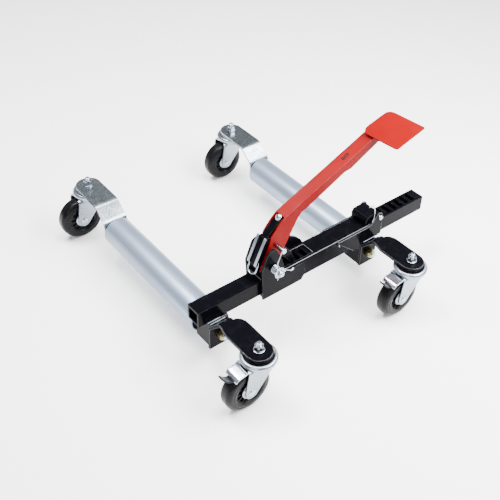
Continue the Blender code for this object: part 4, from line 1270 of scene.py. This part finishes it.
@dataclass
class Lock(Assembly):
    """The lock pawl at the end of the sleeve, with its cap, pin, spring and release wire."""

    pin: Point = (217.0, 158.0)
    plate_outer: float = 26.8
    cap_half: float = 22.3
    coil_radius: float = 5.9
    spring_wire: float = 0.8

    def build(self) -> None:
        """Builds the lock's pieces."""
        bench, finishes, outer = self.bench, self.finishes, self.plate_outer
        bench.softened("lock_pawl", "lock_pawl", finishes.black, Slot.BLACK, 1.0, 3)
        crest = [(180.5, 151.0), (180.5, 160.0), (183.5, 166.4), (192.0, 167.4), (205.0, 167.4)]
        rows = across_y([(x, z, self.cap_half) for x, z in [*crest, (217.0, 167.0)]])
        cap = bent_strip(rows, 4.0, 1.0)
        bench.place("lock_pawl_cap", cap, "lock_pawl", finishes.black, Slot.BLACK)
        pin = turned(
            [
                (0, outer + 6.0, 0), (4.6, outer + 5.6, 1.6), (5.9, outer + 4.0, 1.0),
                (5.9, outer + 0.3, 0.3), (3.95, outer + 0.3, 0), (3.95, -outer - 3.0, 0.8),
                (0, -outer - 3.0, 0),
            ]
        )
        bench.swap("lock_pin", pin, "frame", finishes.bright, Slot.ZINC, along_y(self.pin, 0.0))
        radius, wire = self.coil_radius, self.spring_wire
        coil = self.growths.coil.grow(Radius=radius, Turns=4.0, Height=10.5, Wire_Radius=wire)
        turn = Matrix.Rotation(math.radians(-100.0), 4, "Z")
        coil.transform(along_y(self.pin, 0.0) @ Matrix.Translation((0, 0, 4.0)) @ turn)
        x, z = self.pin
        tail = smooth_path([(x - 1.0, -4.0, z + radius - 0.1), (212.6, -3.0, 164.4), (210.8, -2.6, 162.8)], 6)
        spring = joined(coil, swept(tail, wire))
        bench.swap("lock_spring", spring, "frame", finishes.black, Slot.SPRING, None, SOFT)
        hook = [
            (194.0, -27.9, 153.6), (200.5, -25.6, 163.5), (206.5, -20.4, 172.2), (210.0, -14.5, 178.0),
            (207.5, -10.5, 182.0), (202.0, -9.5, 182.6), (199.0, -9.5, 180.0),
        ]
        release = swept(smooth_path(hook, 6), 0.95)
        bench.place("lock_release_wire", release, "lock_pawl", finishes.bright, Slot.SPRING)


# ---------------------------------------------------------------------------- studio


@dataclass
class Studio:
    """The pale floor, the soft lights and the camera."""

    bench: Bench
    floor_half: float = 6.0
    surround: float = 0.55
    lens: float = 54.7
    sensor: float = 36.0
    eye: Place = (-798.66, -864.6, 1168.14)
    yaw: float = 0.75
    pitch: float = 0.68
    roll: float = 0.07
    shift: Point = (-0.099, -0.0448)

    def build(self) -> None:
        """Builds the studio."""
        self._floor()
        self._lights()
        self._camera()

    def _floor(self) -> None:
        """Lays a large pale floor under the wheels."""

        def fill(shape: bmesh.types.BMesh) -> None:
            bmesh.ops.create_grid(shape, x_segments=2, y_segments=2, size=self.floor_half)

        mesh = shaped(fill)
        mesh.materials.append(floor_finish((0.93, 0.93, 0.93)))
        floor = linked("studio_floor", mesh)
        floor.location = (0, 0, -0.0006)

    def _lights(self) -> None:
        """Hangs the soft lights and sets a pale surround."""
        world = bpy.data.worlds.new("studio_surround")
        world.use_nodes = True
        background = world.node_tree.nodes["Background"]
        background.inputs["Color"].default_value = (1.0, 1.0, 1.0, 1.0)
        background.inputs["Strength"].default_value = self.surround
        bpy.context.scene.world = world
        for name, place, size, energy in (
            ("key_softbox", (-0.6, 0.9, 2.4), (1.1, 0.8), 150.0),
            ("fill_softbox", (-1.9, -1.3, 1.5), (1.2, 1.2), 26.0),
            ("top_softbox", (0.2, -0.2, 2.8), (1.1, 1.1), 110.0),
            ("side_softbox", (2.0, 0.2, 1.2), (0.8, 1.4), 14.0),
            ("front_softbox", (0.60, -1.15, 1.12), (1.3, 0.4), 30.0),
            ("bracket_softbox", (0.60, -0.58, 1.21), (1.3, 0.45), 60.0),
        ):
            light = bpy.data.lights.new(name, "AREA")
            light.shape = "RECTANGLE"
            light.size, light.size_y = size
            light.energy = energy
            lamp = linked(name, light)
            lamp.location = place
            lamp.rotation_euler = (Vector((0, 0, 0.1)) - Vector(place)).to_track_quat("-Z", "Y").to_euler()

    def _camera(self) -> None:
        """Aims the camera by its yaw, pitch and roll."""
        level = math.cos(self.pitch)
        ahead = Vector((math.sin(self.yaw) * level, math.cos(self.yaw) * level, -math.sin(self.pitch)))
        right = ahead.cross(Vector((0, 0, 1))).normalized()
        up = right.cross(ahead)
        c, s = math.cos(self.roll), math.sin(self.roll)
        right, up = right * c + up * s, up * c - right * s
        data = bpy.data.cameras.new("camera")
        data.lens = self.lens
        data.sensor_width = self.sensor
        data.shift_x, data.shift_y = self.shift
        camera = linked("camera", data)
        turn = Matrix((right, up, -ahead)).transposed().to_4x4()
        camera.matrix_world = Matrix.Translation(self.bench.shift @ Vector(self.eye)) @ turn
        bpy.context.scene.camera = camera


def main() -> None:
    """Builds the dolly's looks round the frame, sub-assembly by sub-assembly."""
    logging.basicConfig(level=logging.INFO, format="%(name)s: %(message)s")
    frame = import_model()
    finishes = FinishSet()
    bench = Bench(finishes, frame["nodes"])
    growths = Growths(finishes)
    Rail(bench, growths).build()
    rollers = {Side.LEFT: -208.0, Side.RIGHT: 195.0}
    casters = {Side.LEFT: -209.0, Side.RIGHT: 195.7}
    ends = {End.NEAR: (-147.0, 6.0), End.FAR: (484.0, 5.0)}
    for side in Side:
        RollerSet(bench, growths, side, rollers[side]).build()
        for end, (y, plate) in ends.items():
            Caster(bench, growths, side, end, casters[side], y, plate).build()
    Pedal(bench, growths).build()
    Lock(bench, growths).build()
    Studio(bench).build()
    log.info("%d pieces", bench.count)


if __name__ == "__main__":
    main()
